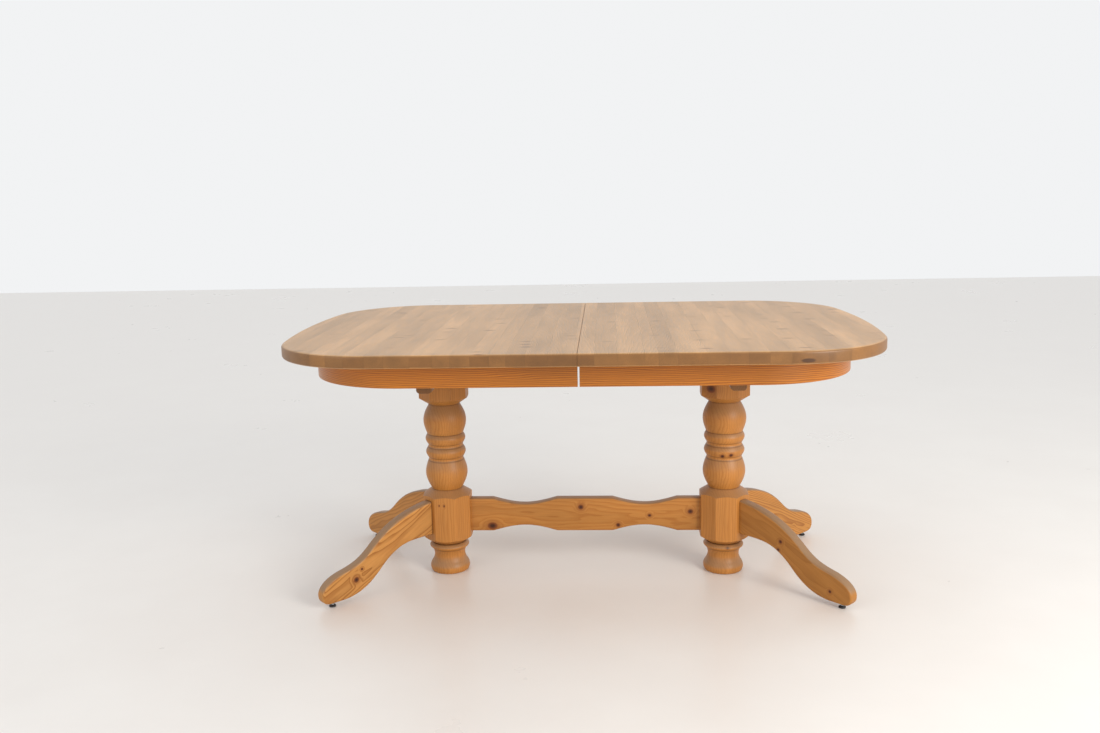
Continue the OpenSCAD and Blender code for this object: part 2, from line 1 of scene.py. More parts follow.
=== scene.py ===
# %% [markdown]
# # An extending dining table in lacquered pine
# The real table is a glued pine top in two halves, a bent band under it, and a frame of two turned
# pedestals, four S-curved legs and a stretcher. Its design lives in a CAD model, which is loaded
# here and stays fixed: it says where each piece is and how large. This lesson gives the pieces
# their real surfaces: rounded edges, smooth turnings, and wood that has grain, knots and lacquer.

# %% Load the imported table
import json
import math

import bpy
import numpy as np
from mathutils import Matrix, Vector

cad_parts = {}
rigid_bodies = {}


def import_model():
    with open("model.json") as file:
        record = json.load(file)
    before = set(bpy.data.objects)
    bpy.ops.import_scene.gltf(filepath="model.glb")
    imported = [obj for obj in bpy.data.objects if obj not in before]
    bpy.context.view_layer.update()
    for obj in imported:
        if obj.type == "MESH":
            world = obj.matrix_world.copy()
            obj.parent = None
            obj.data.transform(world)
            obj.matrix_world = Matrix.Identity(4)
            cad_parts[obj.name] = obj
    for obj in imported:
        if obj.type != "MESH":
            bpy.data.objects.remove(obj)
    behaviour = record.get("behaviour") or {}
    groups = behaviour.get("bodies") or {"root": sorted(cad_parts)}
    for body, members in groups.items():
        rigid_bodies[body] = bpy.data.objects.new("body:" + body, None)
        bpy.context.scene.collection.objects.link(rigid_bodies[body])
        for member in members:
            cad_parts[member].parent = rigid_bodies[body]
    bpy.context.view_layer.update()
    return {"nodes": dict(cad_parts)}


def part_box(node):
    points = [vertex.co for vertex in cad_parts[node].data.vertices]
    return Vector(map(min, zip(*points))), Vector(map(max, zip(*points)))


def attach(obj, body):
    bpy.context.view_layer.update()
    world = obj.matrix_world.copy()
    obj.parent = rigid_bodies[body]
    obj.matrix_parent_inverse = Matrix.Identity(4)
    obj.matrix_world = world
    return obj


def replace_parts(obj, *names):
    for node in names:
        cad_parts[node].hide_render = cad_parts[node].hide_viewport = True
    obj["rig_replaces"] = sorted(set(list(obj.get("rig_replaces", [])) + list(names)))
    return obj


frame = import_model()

scene = bpy.context.scene
nodes = frame["nodes"]

# %% [markdown]
# ## Two helpers for every piece
# A turned or moulded piece could be drawn point by point, but its shape is a rule: rows of points,
# each row joined to the next. So a piece is worked out here as a grid of points with numpy, and one
# function puts the whole arrays into a mesh. A closed mesh has a volume, and the sign of that volume
# says whether its faces point outwards, so the same function can turn them round.

# %% Grids and meshes
def grid_faces(rows, columns, closed):
    """Four-cornered faces between a grid's neighbouring rows and columns, where point (i, j) is
    number i * columns + j; closed joins the last column to the first."""
    i, j = np.meshgrid(np.arange(rows - 1), np.arange(columns if closed else columns - 1), indexing="ij")
    k = (j + 1) % columns
    corners = [i * columns + j, i * columns + k, (i + 1) * columns + k, (i + 1) * columns + j]
    return np.stack(corners, -1).reshape(-1, 4)


def cap_faces(ring, tip):
    """Three-cornered faces that close a ring of points to one tip point."""
    ring = np.asarray(ring)
    return np.stack([ring, np.roll(ring, -1), np.full(len(ring), tip)], -1)


def tipped(grid, first_tip, last_tip):
    """Points and faces of a grid of closed rows, shut at both ends by a tip point."""
    rows, columns = grid.shape[:2]
    points = np.concatenate([grid.reshape(-1, 3), [first_tip, last_tip]])
    ring = np.arange(columns)
    faces = [
        grid_faces(rows, columns, True),
        cap_faces(ring, len(points) - 2)[:, ::-1],
        cap_faces(ring + (rows - 1) * columns, len(points) - 1),
    ]
    return points, faces


def flat_ended(rows, columns):
    """Faces of a section carried along a line: its sides, and one many-cornered face at each end."""
    ring = np.arange(columns)
    return [grid_faces(rows, columns, True), ring[None, ::-1], (ring + (rows - 1) * columns)[None, :]]


def volume(points, faces):
    """Sum over the faces of the box product of their corners, cut into triangles at the first one."""
    total = 0.0
    for block in faces:
        a = points[block[:, 0]]
        for n in range(1, block.shape[1] - 1):
            total += np.einsum("ij,ij->i", a, np.cross(points[block[:, n]], points[block[:, n + 1]])).sum()
    return total / 6


def make_piece(name, body, points, faces, materials, replaces=(), smooth=32, numbers=None):
    """Puts arrays of points and of faces into a new mesh that rides on a body of the table.
    faces is a list of arrays, each with the same number of corners in all its rows; numbers gives,
    for each of those arrays, which of the materials its faces take."""
    points = np.asarray(points, float).reshape(-1, 3)
    faces = [np.atleast_2d(block) for block in faces]
    if volume(points, faces) < 0:
        faces = [block[:, ::-1] for block in faces]
    corners = np.concatenate([block.ravel() for block in faces])
    lengths = np.concatenate([np.full(len(block), block.shape[1]) for block in faces])
    mesh = bpy.data.meshes.new(name)
    mesh.vertices.add(len(points))
    mesh.vertices.foreach_set("co", points.astype(np.float32).ravel())
    mesh.loops.add(len(corners))
    mesh.loops.foreach_set("vertex_index", corners.astype(np.int32))
    mesh.polygons.add(len(lengths))
    mesh.polygons.foreach_set("loop_start", (np.cumsum(lengths) - lengths).astype(np.int32))
    if numbers is not None:
        owner = np.concatenate([np.broadcast_to(n, len(block)) for n, block in zip(numbers, faces)])
        mesh.polygons.foreach_set("material_index", owner.astype(np.int32))
    mesh.update(calc_edges=True)
    mesh.validate()
    mesh.shade_smooth()
    mesh.set_sharp_from_angle(angle=math.radians(smooth))
    for material in materials:
        mesh.materials.append(material)
    piece = bpy.data.objects.new(name, mesh)
    scene.collection.objects.link(piece)
    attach(piece, body)
    if replaces:
        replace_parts(piece, *replaces)
    print(name, len(points), "points,", round(abs(volume(points, faces)) * 1e6), "cubic centimetres")
    return piece


def give(piece, name, values):
    """Keeps one number, or one place of three numbers, with each point of a piece's mesh."""
    values = np.asarray(values, np.float32)
    is_place = values.ndim > 1 and values.shape[-1] == 3
    kind, key = ("FLOAT_VECTOR", "vector") if is_place else ("FLOAT", "value")
    piece.data.attributes.new(name, kind, "POINT").data.foreach_set(key, values.ravel())


LEFT_RIGHT = {-1: "left", 1: "right"}
FRONT_BACK = {-1: "front", 1: "back"}
print("pieces come as", *LEFT_RIGHT.values(), "and as", *FRONT_BACK.values())


# %% [markdown]
# ## Colours and nodes
# Colours are picked as the eye sees them, in sRGB, but light adds up linearly, so each one is
# turned to linear once. Every material below is built with a single function that adds a node.

# %% One function for colours, one for nodes
def linear(hex_colour):
    """sRGB hex to linear RGBA: a low value is divided by 12.92, a high one follows the 2.4 power."""
    value = np.array([int(hex_colour[i : i + 2], 16) for i in (1, 3, 5)]) / 255
    value = np.where(value <= 0.04045, value / 12.92, ((value + 0.055) / 1.055) ** 2.4)
    return (*value.tolist(), 1.0)


def add(tree, kind, settings=None, inputs=None):
    """Adds one node, sets its settings and fills its inputs: a socket is linked, a value is set."""
    node = tree.nodes.new("ShaderNode" + kind)
    for key, value in (settings or {}).items():
        if key == "stops":
            while len(node.color_ramp.elements) < len(value):
                node.color_ramp.elements.new(0.5)
            for element, (place, colour) in zip(node.color_ramp.elements, value):
                element.position = place
                element.color = colour
        else:
            setattr(node, key, value)
    for key, value in (inputs or {}).items():
        if isinstance(value, bpy.types.NodeSocket):
            tree.links.new(value, node.inputs[key])
        else:
            node.inputs[key].default_value = value
    return node


def new_material(name):
    """An empty node material, its tree and its output node."""
    material = bpy.data.materials.new(name)
    material.use_nodes = True
    material.node_tree.nodes.clear()
    return material, material.node_tree, material.node_tree.nodes.new("ShaderNodeOutputMaterial")


MIX_A, MIX_B, MIX_OUT = 6, 7, 2                 # the colour sockets of a Mix node
COLOURS = {"data_type": "RGBA"}                 # for a Mix node that mixes colours
SMOOTH = {"interpolation_type": "SMOOTHSTEP"}   # for a Map Range that starts and ends gently
PLACED = {"vector_type": "TEXTURE"}             # for a Mapping that says where a pattern lies
TIMES = {"operation": "MULTIPLY"}               # for a Math or a Vector Math node
print("orange lacquer in linear light:", [round(c, 3) for c in linear("#c98a4a")[:3]])

# %% [markdown]
# ## Pine, sawn and lacquered
# Pine is a stack of growth rings round the pith: pale, soft spring wood that darkens slowly, then
# ends at a sharp edge. A board shows the rings where its faces cut them, so the grain is solid: it
# is worked out from the distance to a pith line, in the board's own turned coordinates, and end
# grain, long grain and arches come out by themselves. The rings lean and sway over the length, knots
# push them aside, and fine fibres run along. An image could show this too, but it would not know
# how the rings go round an edge. The rings are drawn 3 to 6.5 mm apart and the fibres about 1.5 mm
# wide, both coarser than in real pine, so that they show from across a room.

# %% Growth rings, fibres and knots
MM = 0.001
FIBRE_WIDTH = 1.5 * MM
FIBRE_LENGTH = 70 * MM
SWAY_LENGTH = 420 * MM
SWAY_WIDTH = 70 * MM
SWAY_RINGS = 7.0        # how many rings' widths the sway moves them by
RING_TONES = ((0.0, 0.1), (0.35, 0.0), (0.8, 0.75), (0.93, 1.0), (1.0, 0.15))   # place, darkness


def knot_distance(tree, place, knots):
    """Distance to the nearest knot, where 1 is a knot's rim: each knot is an ellipsoid given by its
    centre and its three radii, and the smallest of the scaled distances is kept."""
    nearest = None
    for centre, radii in knots:
        local = add(tree, "Mapping", PLACED, {"Vector": place, "Location": centre, "Scale": radii})
        away = add(tree, "VectorMath", {"operation": "LENGTH"}, {0: local.outputs[0]}).outputs["Value"]
        if nearest is not None:
            away = add(tree, "Math", {"operation": "MINIMUM"}, {0: nearest, 1: away}).outputs[0]
        nearest = away
    return nearest


def growth(tree, board, ring, nearest=None):
    """Growth rings and fibres. The ring count is the distance from the board's X axis divided by the
    ring width, plus a slow sway and a bulge round each knot; its fraction runs across one ring."""
    sway = add(
        tree, "VectorMath", TIMES, {0: board, 1: (1 / SWAY_LENGTH, 1 / SWAY_WIDTH, 1 / SWAY_WIDTH)}
    ).outputs[0]
    wave = add(
        tree, "TexNoise", {}, {"Vector": sway, "Scale": 1.0, "Detail": 3.0, "Roughness": 0.55}
    ).outputs[0]
    flat = add(tree, "VectorMath", TIMES, {0: board, 1: (0.0, 1.0, 1.0)}).outputs[0]
    radius = add(tree, "VectorMath", {"operation": "LENGTH"}, {0: flat}).outputs["Value"]
    count = add(tree, "Math", TIMES, {0: radius, 1: 1 / ring}).outputs[0]
    count = add(
        tree, "Math", {"operation": "MULTIPLY_ADD"}, {0: wave, 1: SWAY_RINGS, 2: count}
    ).outputs[0]
    if nearest is not None:
        bulge = add(
            tree, "MapRange", SMOOTH,
            {"Value": nearest, "From Min": 0.8, "From Max": 3.0, "To Min": 1.5, "To Max": 0.0},
        ).outputs[0]
        count = add(tree, "Math", {"operation": "ADD"}, {0: count, 1: bulge}).outputs[0]
    across = add(tree, "Math", {"operation": "FRACT"}, {0: count}).outputs[0]
    late = add(
        tree, "ValToRGB", {"stops": [(place, (dark, dark, dark, 1)) for place, dark in RING_TONES]},
        {0: across},
    ).outputs[0]
    strands = add(
        tree, "VectorMath", TIMES, {0: board, 1: (1 / FIBRE_LENGTH, 1 / FIBRE_WIDTH, 1 / FIBRE_WIDTH)}
    ).outputs[0]
    fibre = add(
        tree, "TexNoise", {}, {"Vector": strands, "Scale": 1.0, "Detail": 2.0, "Roughness": 0.6}
    ).outputs[0]
    return late, fibre, wave


# %% [markdown]
# Lacquer sits on the wood as a thin clear film: a soft gloss over the whole surface that follows the
# raised fibres only a little. It has yellowed to honey. Where dust and hands reach, on edges that
# face up, it is worn through and greyish brown, and the same greyish brown is also painted shade,
# since the top keeps the light off faces that look up. In the grooves between turnings a dark brown
# is painted, grime together with the shade in those hollows; where a leg meets its post the same
# dark brown is painted shade in the gap. Both are tied to the way a surface faces and to a number
# that the turned pieces and the legs keep with each point.

# %% Lacquered pine
# dust on faces that look up, and painted shade there, where the top keeps the light off them
DUST_AND_SHADE = linear("#8b7258")
# grime in the grooves and joints, together with the painted shade that falls there
GRIME_AND_SHADE_COLOUR = linear("#5a3a1e")
KNOT_SHADES = (     # where a shade starts and ends, if 1 is the knot's rim, its strength and colour
    (0.9, 2.4, 0.55, "#8f5526"),
    (0.8, 1.1, 1.0, "#7a421d"),
    (0.2, 0.9, 1.0, "#3d1f10"),
)


def facing_up(tree, start, end):
    """0 where the surface faces sideways, 1 where it faces up, from its normal's height."""
    normal = add(tree, "TexCoord").outputs["Normal"]
    height = add(tree, "SeparateXYZ", {}, {0: normal}).outputs["Z"]
    return add(
        tree, "MapRange", SMOOTH,
        {"Value": height, "From Min": start, "From Max": end},
    ).outputs[0]


def coated(tree, output, colour, fibre, roughness=0.45, bump=0.12 * MM, gloss=0.28, coat=0.06):
    """The clear film: a principled shader with a coat over a surface that the fibres raise."""
    relief = add(tree, "Bump", {}, {"Height": fibre, "Distance": bump, "Strength": 0.6})
    worn = add(
        tree, "MapRange", {},
        {"Value": fibre, "From Min": 0.3, "From Max": 0.7,
         "To Min": roughness - 0.06, "To Max": roughness + 0.08},
    )
    shader = add(
        tree, "BsdfPrincipled", {},
        {"Base Color": colour, "Roughness": worn.outputs[0], "Normal": relief.outputs[0],
         "IOR": 1.5, "Specular IOR Level": gloss, "Coat Weight": coat, "Coat Roughness": 0.3},
    )
    tree.links.new(shader.outputs[0], output.inputs["Surface"])


def pine(
    name, light, dark, origin, turn, ring=3.6 * MM, knots=(), band=None, dust_and_shade=0.75, hollow_grime_and_shade=False,
    dust_and_shade_from=0.25, gloss=0.28, roughness=0.45,
):
    """Sawn pine under lacquer. origin is a point on the pith and turn swings the pith line from X;
    band names the attribute that holds unbent coordinates, on a bent piece."""
    material, tree, output = new_material(name)
    if band:
        place = add(tree, "Attribute", {"attribute_name": band}).outputs["Vector"]
    else:
        place = add(tree, "TexCoord").outputs["Object"]
    board = add(
        tree, "Mapping", PLACED, {"Vector": place, "Location": origin, "Rotation": turn}
    ).outputs[0]
    nearest = knot_distance(tree, place, knots)
    late, fibre, wave = growth(tree, board, ring, nearest)
    colour = add(
        tree, "Mix", COLOURS, {0: late, MIX_A: linear(light), MIX_B: linear(dark)}
    ).outputs[MIX_OUT]
    shade = add(
        tree, "MapRange", {},
        {"Value": wave, "From Min": 0.3, "From Max": 0.7, "To Min": 0.86, "To Max": 1.1},
    ).outputs[0]
    streak = add(
        tree, "MapRange", {},
        {"Value": fibre, "From Min": 0.25, "From Max": 0.75, "To Min": 0.88, "To Max": 1.1},
    ).outputs[0]
    tone = add(tree, "Math", TIMES, {0: shade, 1: streak}).outputs[0]
    colour = add(tree, "VectorMath", {"operation": "SCALE"}, {0: colour, "Scale": tone}).outputs[0]
    shades = KNOT_SHADES if knots else ()
    for start, end, strength, tint in shades:
        amount = add(
            tree, "MapRange", SMOOTH,
            {"Value": nearest, "From Min": start, "From Max": end, "To Min": strength, "To Max": 0.0},
        ).outputs[0]
        colour = add(
            tree, "Mix", COLOURS, {0: amount, MIX_A: colour, MIX_B: linear(tint)}
        ).outputs[MIX_OUT]
    # faces that look up turn greyish brown: dust and wear, and painted shade where the top keeps the light
    # off
    if dust_and_shade:
        up = facing_up(tree, dust_and_shade_from, dust_and_shade_from + 0.5)
        patchy = add(
            tree, "MapRange", {},
            {"Value": fibre, "From Min": 0.3, "From Max": 0.62, "To Min": 0.75 * dust_and_shade, "To Max": dust_and_shade},
        ).outputs[0]
        amount = add(tree, "Math", TIMES, {0: up, 1: patchy}).outputs[0]
        colour = add(tree, "Mix", COLOURS, {0: amount, MIX_A: colour, MIX_B: DUST_AND_SHADE}).outputs[MIX_OUT]
    # a number kept with each point darkens grooves and joints: grime, and painted shade
    if hollow_grime_and_shade:
        grime = add(tree, "Attribute", {"attribute_name": "grime"}).outputs["Fac"]
        colour = add(tree, "Mix", COLOURS, {0: grime, MIX_A: colour, MIX_B: GRIME_AND_SHADE_COLOUR}).outputs[MIX_OUT]
    coated(tree, output, colour, fibre, roughness=roughness, gloss=gloss)
    return material


print("pine: fibres", round(FIBRE_WIDTH / MM, 1), "by", round(FIBRE_LENGTH / MM), "mm")

# %% [markdown]
# ## The outline of the top and of the band
# Seen from above, each half of the table has a straight front and back, two round corners and a
# gently bowed end. Both corners and the bow are arcs that meet smoothly. Moving the outline inwards
# only shortens the arcs' radii, and their centres stay, so one function with an inset draws the
# top, its rounded rim and both faces of the band under it, with the same number of points each time.

# %% Half an outline
def half_outline(length, width, corner, bow, start, inset=0.0, counts=(30, 30, 40)):
    """Points of the right half, from the middle's front end round to its back end. Straight sides,
    then arcs: place = centre + (radius - inset) * (cosine, sine) of an angle that grows evenly."""
    side = width / 2 - inset
    bow_x = length / 2 - bow
    tilt = math.asin((width / 2 - corner) / (bow - corner))
    corner_x = bow_x + (bow - corner) * math.cos(tilt)
    straight_x = np.linspace(start, corner_x, counts[0], endpoint=False)
    front = np.stack([straight_x, np.full_like(straight_x, -side)], -1)
    turn = np.linspace(-math.pi / 2, -tilt, counts[1], endpoint=False)
    arc = np.stack([np.cos(turn), np.sin(turn)], -1) * (corner - inset) + (corner_x, corner - width / 2)
    swing = np.linspace(-tilt, 0, counts[2] // 2 + 1)
    bowed = np.stack([np.cos(swing), np.sin(swing)], -1) * (bow - inset) + (bow_x, 0)
    first = np.concatenate([front, arc, bowed])
    return np.concatenate([first, first[-2::-1] * (1, -1)])


top_low, top_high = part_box("top_right")
TOP = dict(length=2 * top_high.x, width=top_high.y - top_low.y, corner=285 * MM, bow=2360 * MM)
print("top outline:", half_outline(**TOP, start=top_low.x).shape, "points")

# %% [markdown]
# ## The table top
# Each half is a panel of pine staves glued side by side, 34 mm thick, with its rim rounded over. It
# could be a slab with a Bevel modifier, but a slab's seam edge needs a small arris and its rim a
# large round, so the panel is a grid: every row is the whole outline at one height, set in by as
# much as the round asks there, and the flat faces shrink to a point in their middle.

# %% Panels of the table top
RIM_ROUND = 7 * MM
SEAM_ARRIS = 0.9 * MM
FLAT_SCALES = (0.2, 0.45, 0.7, 0.88)


def closed_row(outline, start, inset_at_seam, seam_points=24):
    """A half outline closed by a straight line of points along the seam, from back to front."""
    row = outline.copy()
    row[0, 0] = row[-1, 0] = start + inset_at_seam
    t = np.linspace(0, 1, seam_points + 2)[1:-1, None]
    return np.concatenate([row, row[-1] * (1 - t) + row[0] * t])


def panel_points(shape, start, low, high):
    """Rows from the underside's middle to the upper side's middle. In the round the inset is
    R - R sin(a) and the height is the flat's edge plus R - R cos(a), for a from 0 to 90 degrees."""
    a = np.linspace(0, math.pi / 2, 7)
    inset = RIM_ROUND * (1 - np.sin(a))
    rise = RIM_ROUND * (1 - np.cos(a))
    heights = np.concatenate([[low], low + rise, high - rise[::-1], [high]])
    insets = np.concatenate([[RIM_ROUND + MM], inset, inset[::-1], [RIM_ROUND + MM]])
    rows = []
    for z, d in zip(heights, insets):
        near_edge = min(z - low, high - z)
        arris = max(0.0, SEAM_ARRIS - near_edge)
        flat = closed_row(half_outline(**shape, start=start, inset=d), start, arris)
        rows.append(np.column_stack([flat, np.full(len(flat), z)]))
    middle = rows[0].mean(0)
    under = [middle + (rows[0] - middle) * s for s in FLAT_SCALES]
    middle_up = rows[-1].mean(0)
    over = [middle_up + (rows[-1] - middle_up) * s for s in FLAT_SCALES[::-1]]
    grid = np.stack([*under, *rows, *over])
    return grid, middle, middle_up


def top_panel(side, material):
    """One half of the top, with the pole of each flat face closed to a point."""
    points, faces = tipped(*panel_points(TOP, top_low.x, top_low.z, top_high.z))
    points = points * (side, 1, 1)
    name = LEFT_RIGHT[side]
    return make_piece(
        f"top_{name}_panel", f"{name}_half", points, faces, [material], [f"top_{name}"]
    )


# %% [markdown]
# The staves run from front to back, so the top shows long grain, the front edge shows end grain in
# blocks, and the bowed ends show long grain again. All of it comes from one solid pattern: a cell
# pattern along X gives every stave its own tone, its own pith and thin joints, about 52 mm apart.
# The upper face is paler than its rim: partly it has bleached in daylight, and partly its paleness
# is a painted reflection of the white room in the lacquer. The rim has kept the lacquer's brown. Small
# branches, cut aslant, cross the staves as short dark streaks, and one large knot sits in the front edge.

# %% Glued pine staves
STAVE = 52 * MM
JOINT_LINE = 0.9 * MM
TOP_RING = 3.2 * MM
PITH_SPREAD = (0.3, 3.0, 0.12)      # how far apart, in metres, the staves' piths may lie
STREAK_CELL = (115 * MM, 52 * MM)
STREAK_SHARE = 0.3                  # the share of cells that hold a branch
EDGE_KNOT = ((0.558, -0.536, 0.736), (19 * MM, 20 * MM, 6 * MM))


def stave_pine(name):
    """Glued staves: cells along X pick each stave's tone and pith, and rings and fibres fill it."""
    material, tree, output = new_material(name)
    texture = add(tree, "TexCoord")
    place = texture.outputs["Object"]
    x = add(tree, "SeparateXYZ", {}, {0: place}).outputs["X"]
    across = add(tree, "Math", TIMES, {0: x, 1: 1 / STAVE}).outputs[0]
    stave, joint = (
        add(
            tree, "TexVoronoi", {"voronoi_dimensions": "1D", "feature": feature},
            {"W": across, "Scale": 1.0, "Randomness": 0.8},
        ).outputs
        for feature in ("F1", "DISTANCE_TO_EDGE")
    )
    own = add(tree, "SeparateColor", {}, {0: stave["Color"]}).outputs
    shift = add(
        tree, "VectorMath", {"operation": "MULTIPLY_ADD"}, {0: stave["Color"], 1: PITH_SPREAD, 2: place}
    ).outputs[0]
    board = add(
        tree, "Mapping", PLACED,
        {"Vector": shift, "Location": (-0.9, 0.0, 0.7), "Rotation": (0.0, 0.0, math.pi / 2)},
    ).outputs[0]
    late, fibre, wave = growth(tree, board, TOP_RING)

    # 1 where the surface faces front or back, where it faces up, and where it faces down
    normal = add(tree, "SeparateXYZ", {}, {0: texture.outputs["Normal"]}).outputs
    facing = add(tree, "Math", {"operation": "ABSOLUTE"}, {0: normal["Y"]}).outputs[0]
    end_grain, bleach_and_reflection, below = (
        add(
            tree, "MapRange", SMOOTH,
            {"Value": value, "From Min": start, "From Max": end, "To Min": first, "To Max": 1.0 - first},
        ).outputs[0]
        for value, start, end, first in (
            (facing, 0.925, 0.945, 0.0), (normal["Z"], 0.55, 0.92, 0.0), (normal["Z"], -0.9, -0.5, 1.0)
        )
    )

    # the pale face, bleached and with a painted reflection of the white room, the rim's long grain,
    # and the blocks of end grain, laid over each other
    face, colour, blocks = (
        add(tree, "Mix", COLOURS, {0: amount, MIX_A: linear(light), MIX_B: linear(dark)}).outputs[MIX_OUT]
        for amount, light, dark in (
            (late, "#d4aa7b", "#956c41"), (late, "#946735", "#774d21"), (own[1], "#754d23", "#8d6131")
        )
    )
    for amount, tint in ((end_grain, blocks), (bleach_and_reflection, face), (below, linear("#c8965a"))):
        colour = add(tree, "Mix", COLOURS, {0: amount, MIX_A: colour, MIX_B: tint}).outputs[MIX_OUT]

    # each stave's own tone, times the tone of its fibres, of wear, and of the joint lines
    tone, fibres, wear, line = (
        add(
            tree, "MapRange", {},
            {"Value": value, "From Min": start, "From Max": end, "To Min": darkest, "To Max": lightest},
        ).outputs[0]
        for value, start, end, darkest, lightest in (
            (own[0], 0.0, 1.0, 0.87, 1.1), (fibre, 0.3, 0.7, 0.8, 1.14), (wave, 0.3, 0.7, 0.8, 1.14),
            (joint["Distance"], 0.0, JOINT_LINE / STAVE, 0.82, 1.0),
        )
    )
    for other in (fibres, wear, line):
        tone = add(tree, "Math", TIMES, {0: tone, 1: other}).outputs[0]

    # branches: some cells of a flat pattern hold one, and each has its own depth of colour
    cells = add(
        tree, "VectorMath", TIMES, {0: place, 1: (1 / STREAK_CELL[0], 1 / STREAK_CELL[1], 0.0)}
    ).outputs[0]
    branch = add(
        tree, "TexVoronoi", {"voronoi_dimensions": "2D"},
        {"Vector": cells, "Scale": 1.0, "Randomness": 0.9},
    ).outputs
    chance, depth, _ = add(tree, "SeparateColor", {}, {0: branch["Color"]}).outputs
    there = add(tree, "Math", {"operation": "GREATER_THAN"}, {0: chance, 1: 1 - STREAK_SHARE}).outputs[0]
    depth = add(tree, "MapRange", {}, {"Value": depth, "To Min": 0.2, "To Max": 1.0}).outputs[0]
    streak = add(
        tree, "MapRange", SMOOTH,
        {"Value": branch["Distance"], "From Min": 0.04, "From Max": 0.22, "To Min": 0.85, "To Max": 0.0},
    ).outputs[0]
    for other in (there, depth, bleach_and_reflection):
        streak = add(tree, "Math", TIMES, {0: streak, 1: other}).outputs[0]
    colour = add(
        tree, "Mix", COLOURS, {0: streak, MIX_A: colour, MIX_B: linear("#7a5230")}
    ).outputs[MIX_OUT]
    colour = add(tree, "VectorMath", {"operation": "SCALE"}, {0: colour, "Scale": tone}).outputs[0]

    # the large knot in the front edge lies over everything else
    knot = add(
        tree, "MapRange", SMOOTH,
        {"Value": knot_distance(tree, place, [EDGE_KNOT]), "From Min": 0.7, "From Max": 1.15,
         "To Min": 0.9, "To Max": 0.0},
    ).outputs[0]
    colour = add(
        tree, "Mix", COLOURS, {0: knot, MIX_A: colour, MIX_B: linear("#43260f")}
    ).outputs[MIX_OUT]
    coated(tree, output, colour, fibre, roughness=0.42, bump=0.08 * MM, gloss=0.45, coat=0.12)
    return material


top_pine = stave_pine("glued pine staves, bleached lacquer")
top_panel(-1, top_pine)
top_right = top_panel(1, top_pine)

# %% [markdown]
# The right half has three bores in its seam, which the left half's dowels slide into. A bore is cut
# with a Boolean modifier: the cutter is three short rods, made the same way as every turned piece.

# %% Rods, and cutting with them
def lathe(profile, columns, phase=0.0):
    """A profile of (radius, height) turned round Z: place = (r cos(a), r sin(a), z), with a evenly
    spaced. The first and the last radius are 0, so each becomes one tip point."""
    profile = np.asarray(profile, float)
    a = phase + np.arange(columns) * 2 * math.pi / columns
    inner = profile[1:-1]
    body = np.stack(
        [inner[:, :1] * np.cos(a), inner[:, :1] * np.sin(a), np.repeat(inner[:, 1:], columns, 1)], -1
    )
    return tipped(body, (0, 0, profile[0, 1]), (0, 0, profile[-1, 1]))


def stand_along(points, axis, origin):
    """Turns points from standing along Z to lie along another axis, by naming the axes in a new
    order, and moves them to their origin."""
    order = {"x": [2, 0, 1], "y": [1, 2, 0]}[axis]
    return points[:, order] + np.asarray(origin)


def cut(piece, cutters):
    """Cuts bores: the cutters are joined into one mesh and taken away from the piece, and the
    result is kept as the piece's own mesh."""
    corners, loops, start = [], [], 0
    for points, faces in cutters:
        corners.append(points)
        loops += [face.tolist() for block in faces for face in block + start]
        start += len(points)
    tool_mesh = bpy.data.meshes.new("cutter")
    tool_mesh.from_pydata(np.concatenate(corners).tolist(), [], loops)
    tool = bpy.data.objects.new("cutter", tool_mesh)
    scene.collection.objects.link(tool)
    modifier = piece.modifiers.new("bores", "BOOLEAN")
    modifier.object, modifier.operation, modifier.solver = tool, "DIFFERENCE", "EXACT"
    evaluated = piece.evaluated_get(bpy.context.evaluated_depsgraph_get())
    shaped = bpy.data.meshes.new_from_object(evaluated)
    piece.modifiers.clear()
    before, piece.data = piece.data, shaped
    shaped.name = piece.name
    shaped.set_sharp_from_angle(angle=math.radians(32))
    bpy.data.meshes.remove(before)
    bpy.data.meshes.remove(tool_mesh)
    print(piece.name, "cut:", len(shaped.polygons), "faces")


def rod(radius, low, high, columns=32, phase=0.0):
    """A plain rod along Z from low to high, closed at both ends."""
    return lathe([(0, low), (radius, low), (radius, high), (0, high)], columns, phase)


# %% Dowel bores in the seam
BORE_PLAY = 0.3 * MM
BORE_SPARE = 2 * MM
CUT_PAST = 5 * MM       # how far a cutter stands out of the wood, so that the cut is clean
dowel_low, dowel_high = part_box("alignment_dowels")
dowel_r = (dowel_high.z - dowel_low.z) / 2
bore_points, bore_faces = rod(dowel_r + BORE_PLAY, -CUT_PAST, dowel_high.x + BORE_SPARE)
outer_y = (dowel_high.y - dowel_low.y) / 2 - dowel_r
dowel_z = (dowel_low.z + dowel_high.z) / 2
cut(top_right, [
    (stand_along(bore_points, "x", (0, y, dowel_z)), bore_faces) for y in (-outer_y, 0, outer_y)
])

# %% [markdown]
# ## The band under the top
# The apron is a strip of pine, bent round the outline and glued. A strip bends along its length, so
# its grain follows the curve, and a pattern in plain X, Y, Z would run straight through it. The band
# is a rounded section carried along the outline, and each point also keeps its unbent place: how far
# along the strip it lies, how deep, and how high. The wood reads that instead. Its lacquer is tinted
# orange and glossier than the rest, so the band looks brighter and more even than the turned pieces.

# %% Bent band
band_low, band_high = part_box("apron_right")
BAND = dict(
    length=2 * band_high.x, width=band_high.y - band_low.y, corner=275 * MM,
    bow=2280 * MM, start=band_low.x,
)
BAND_THICK = 22 * MM
BAND_ROUND = 2.5 * MM
OTHER_PLANK = 3.0       # metres along the pattern, so that the left band gets other grain


def rounded_section(width, height, radius, steps=4):
    """A rectangle from 0 to width and 0 to height whose corners are quarter circles."""
    a = np.linspace(0, math.pi / 2, steps + 1)
    corners = [
        (width - radius, radius, -math.pi / 2), (width - radius, height - radius, 0),
        (radius, height - radius, math.pi / 2), (radius, radius, math.pi),
    ]
    arcs = [
        np.stack([x + radius * np.cos(a + s), y + radius * np.sin(a + s)], -1) for x, y, s in corners
    ]
    return np.concatenate(arcs)


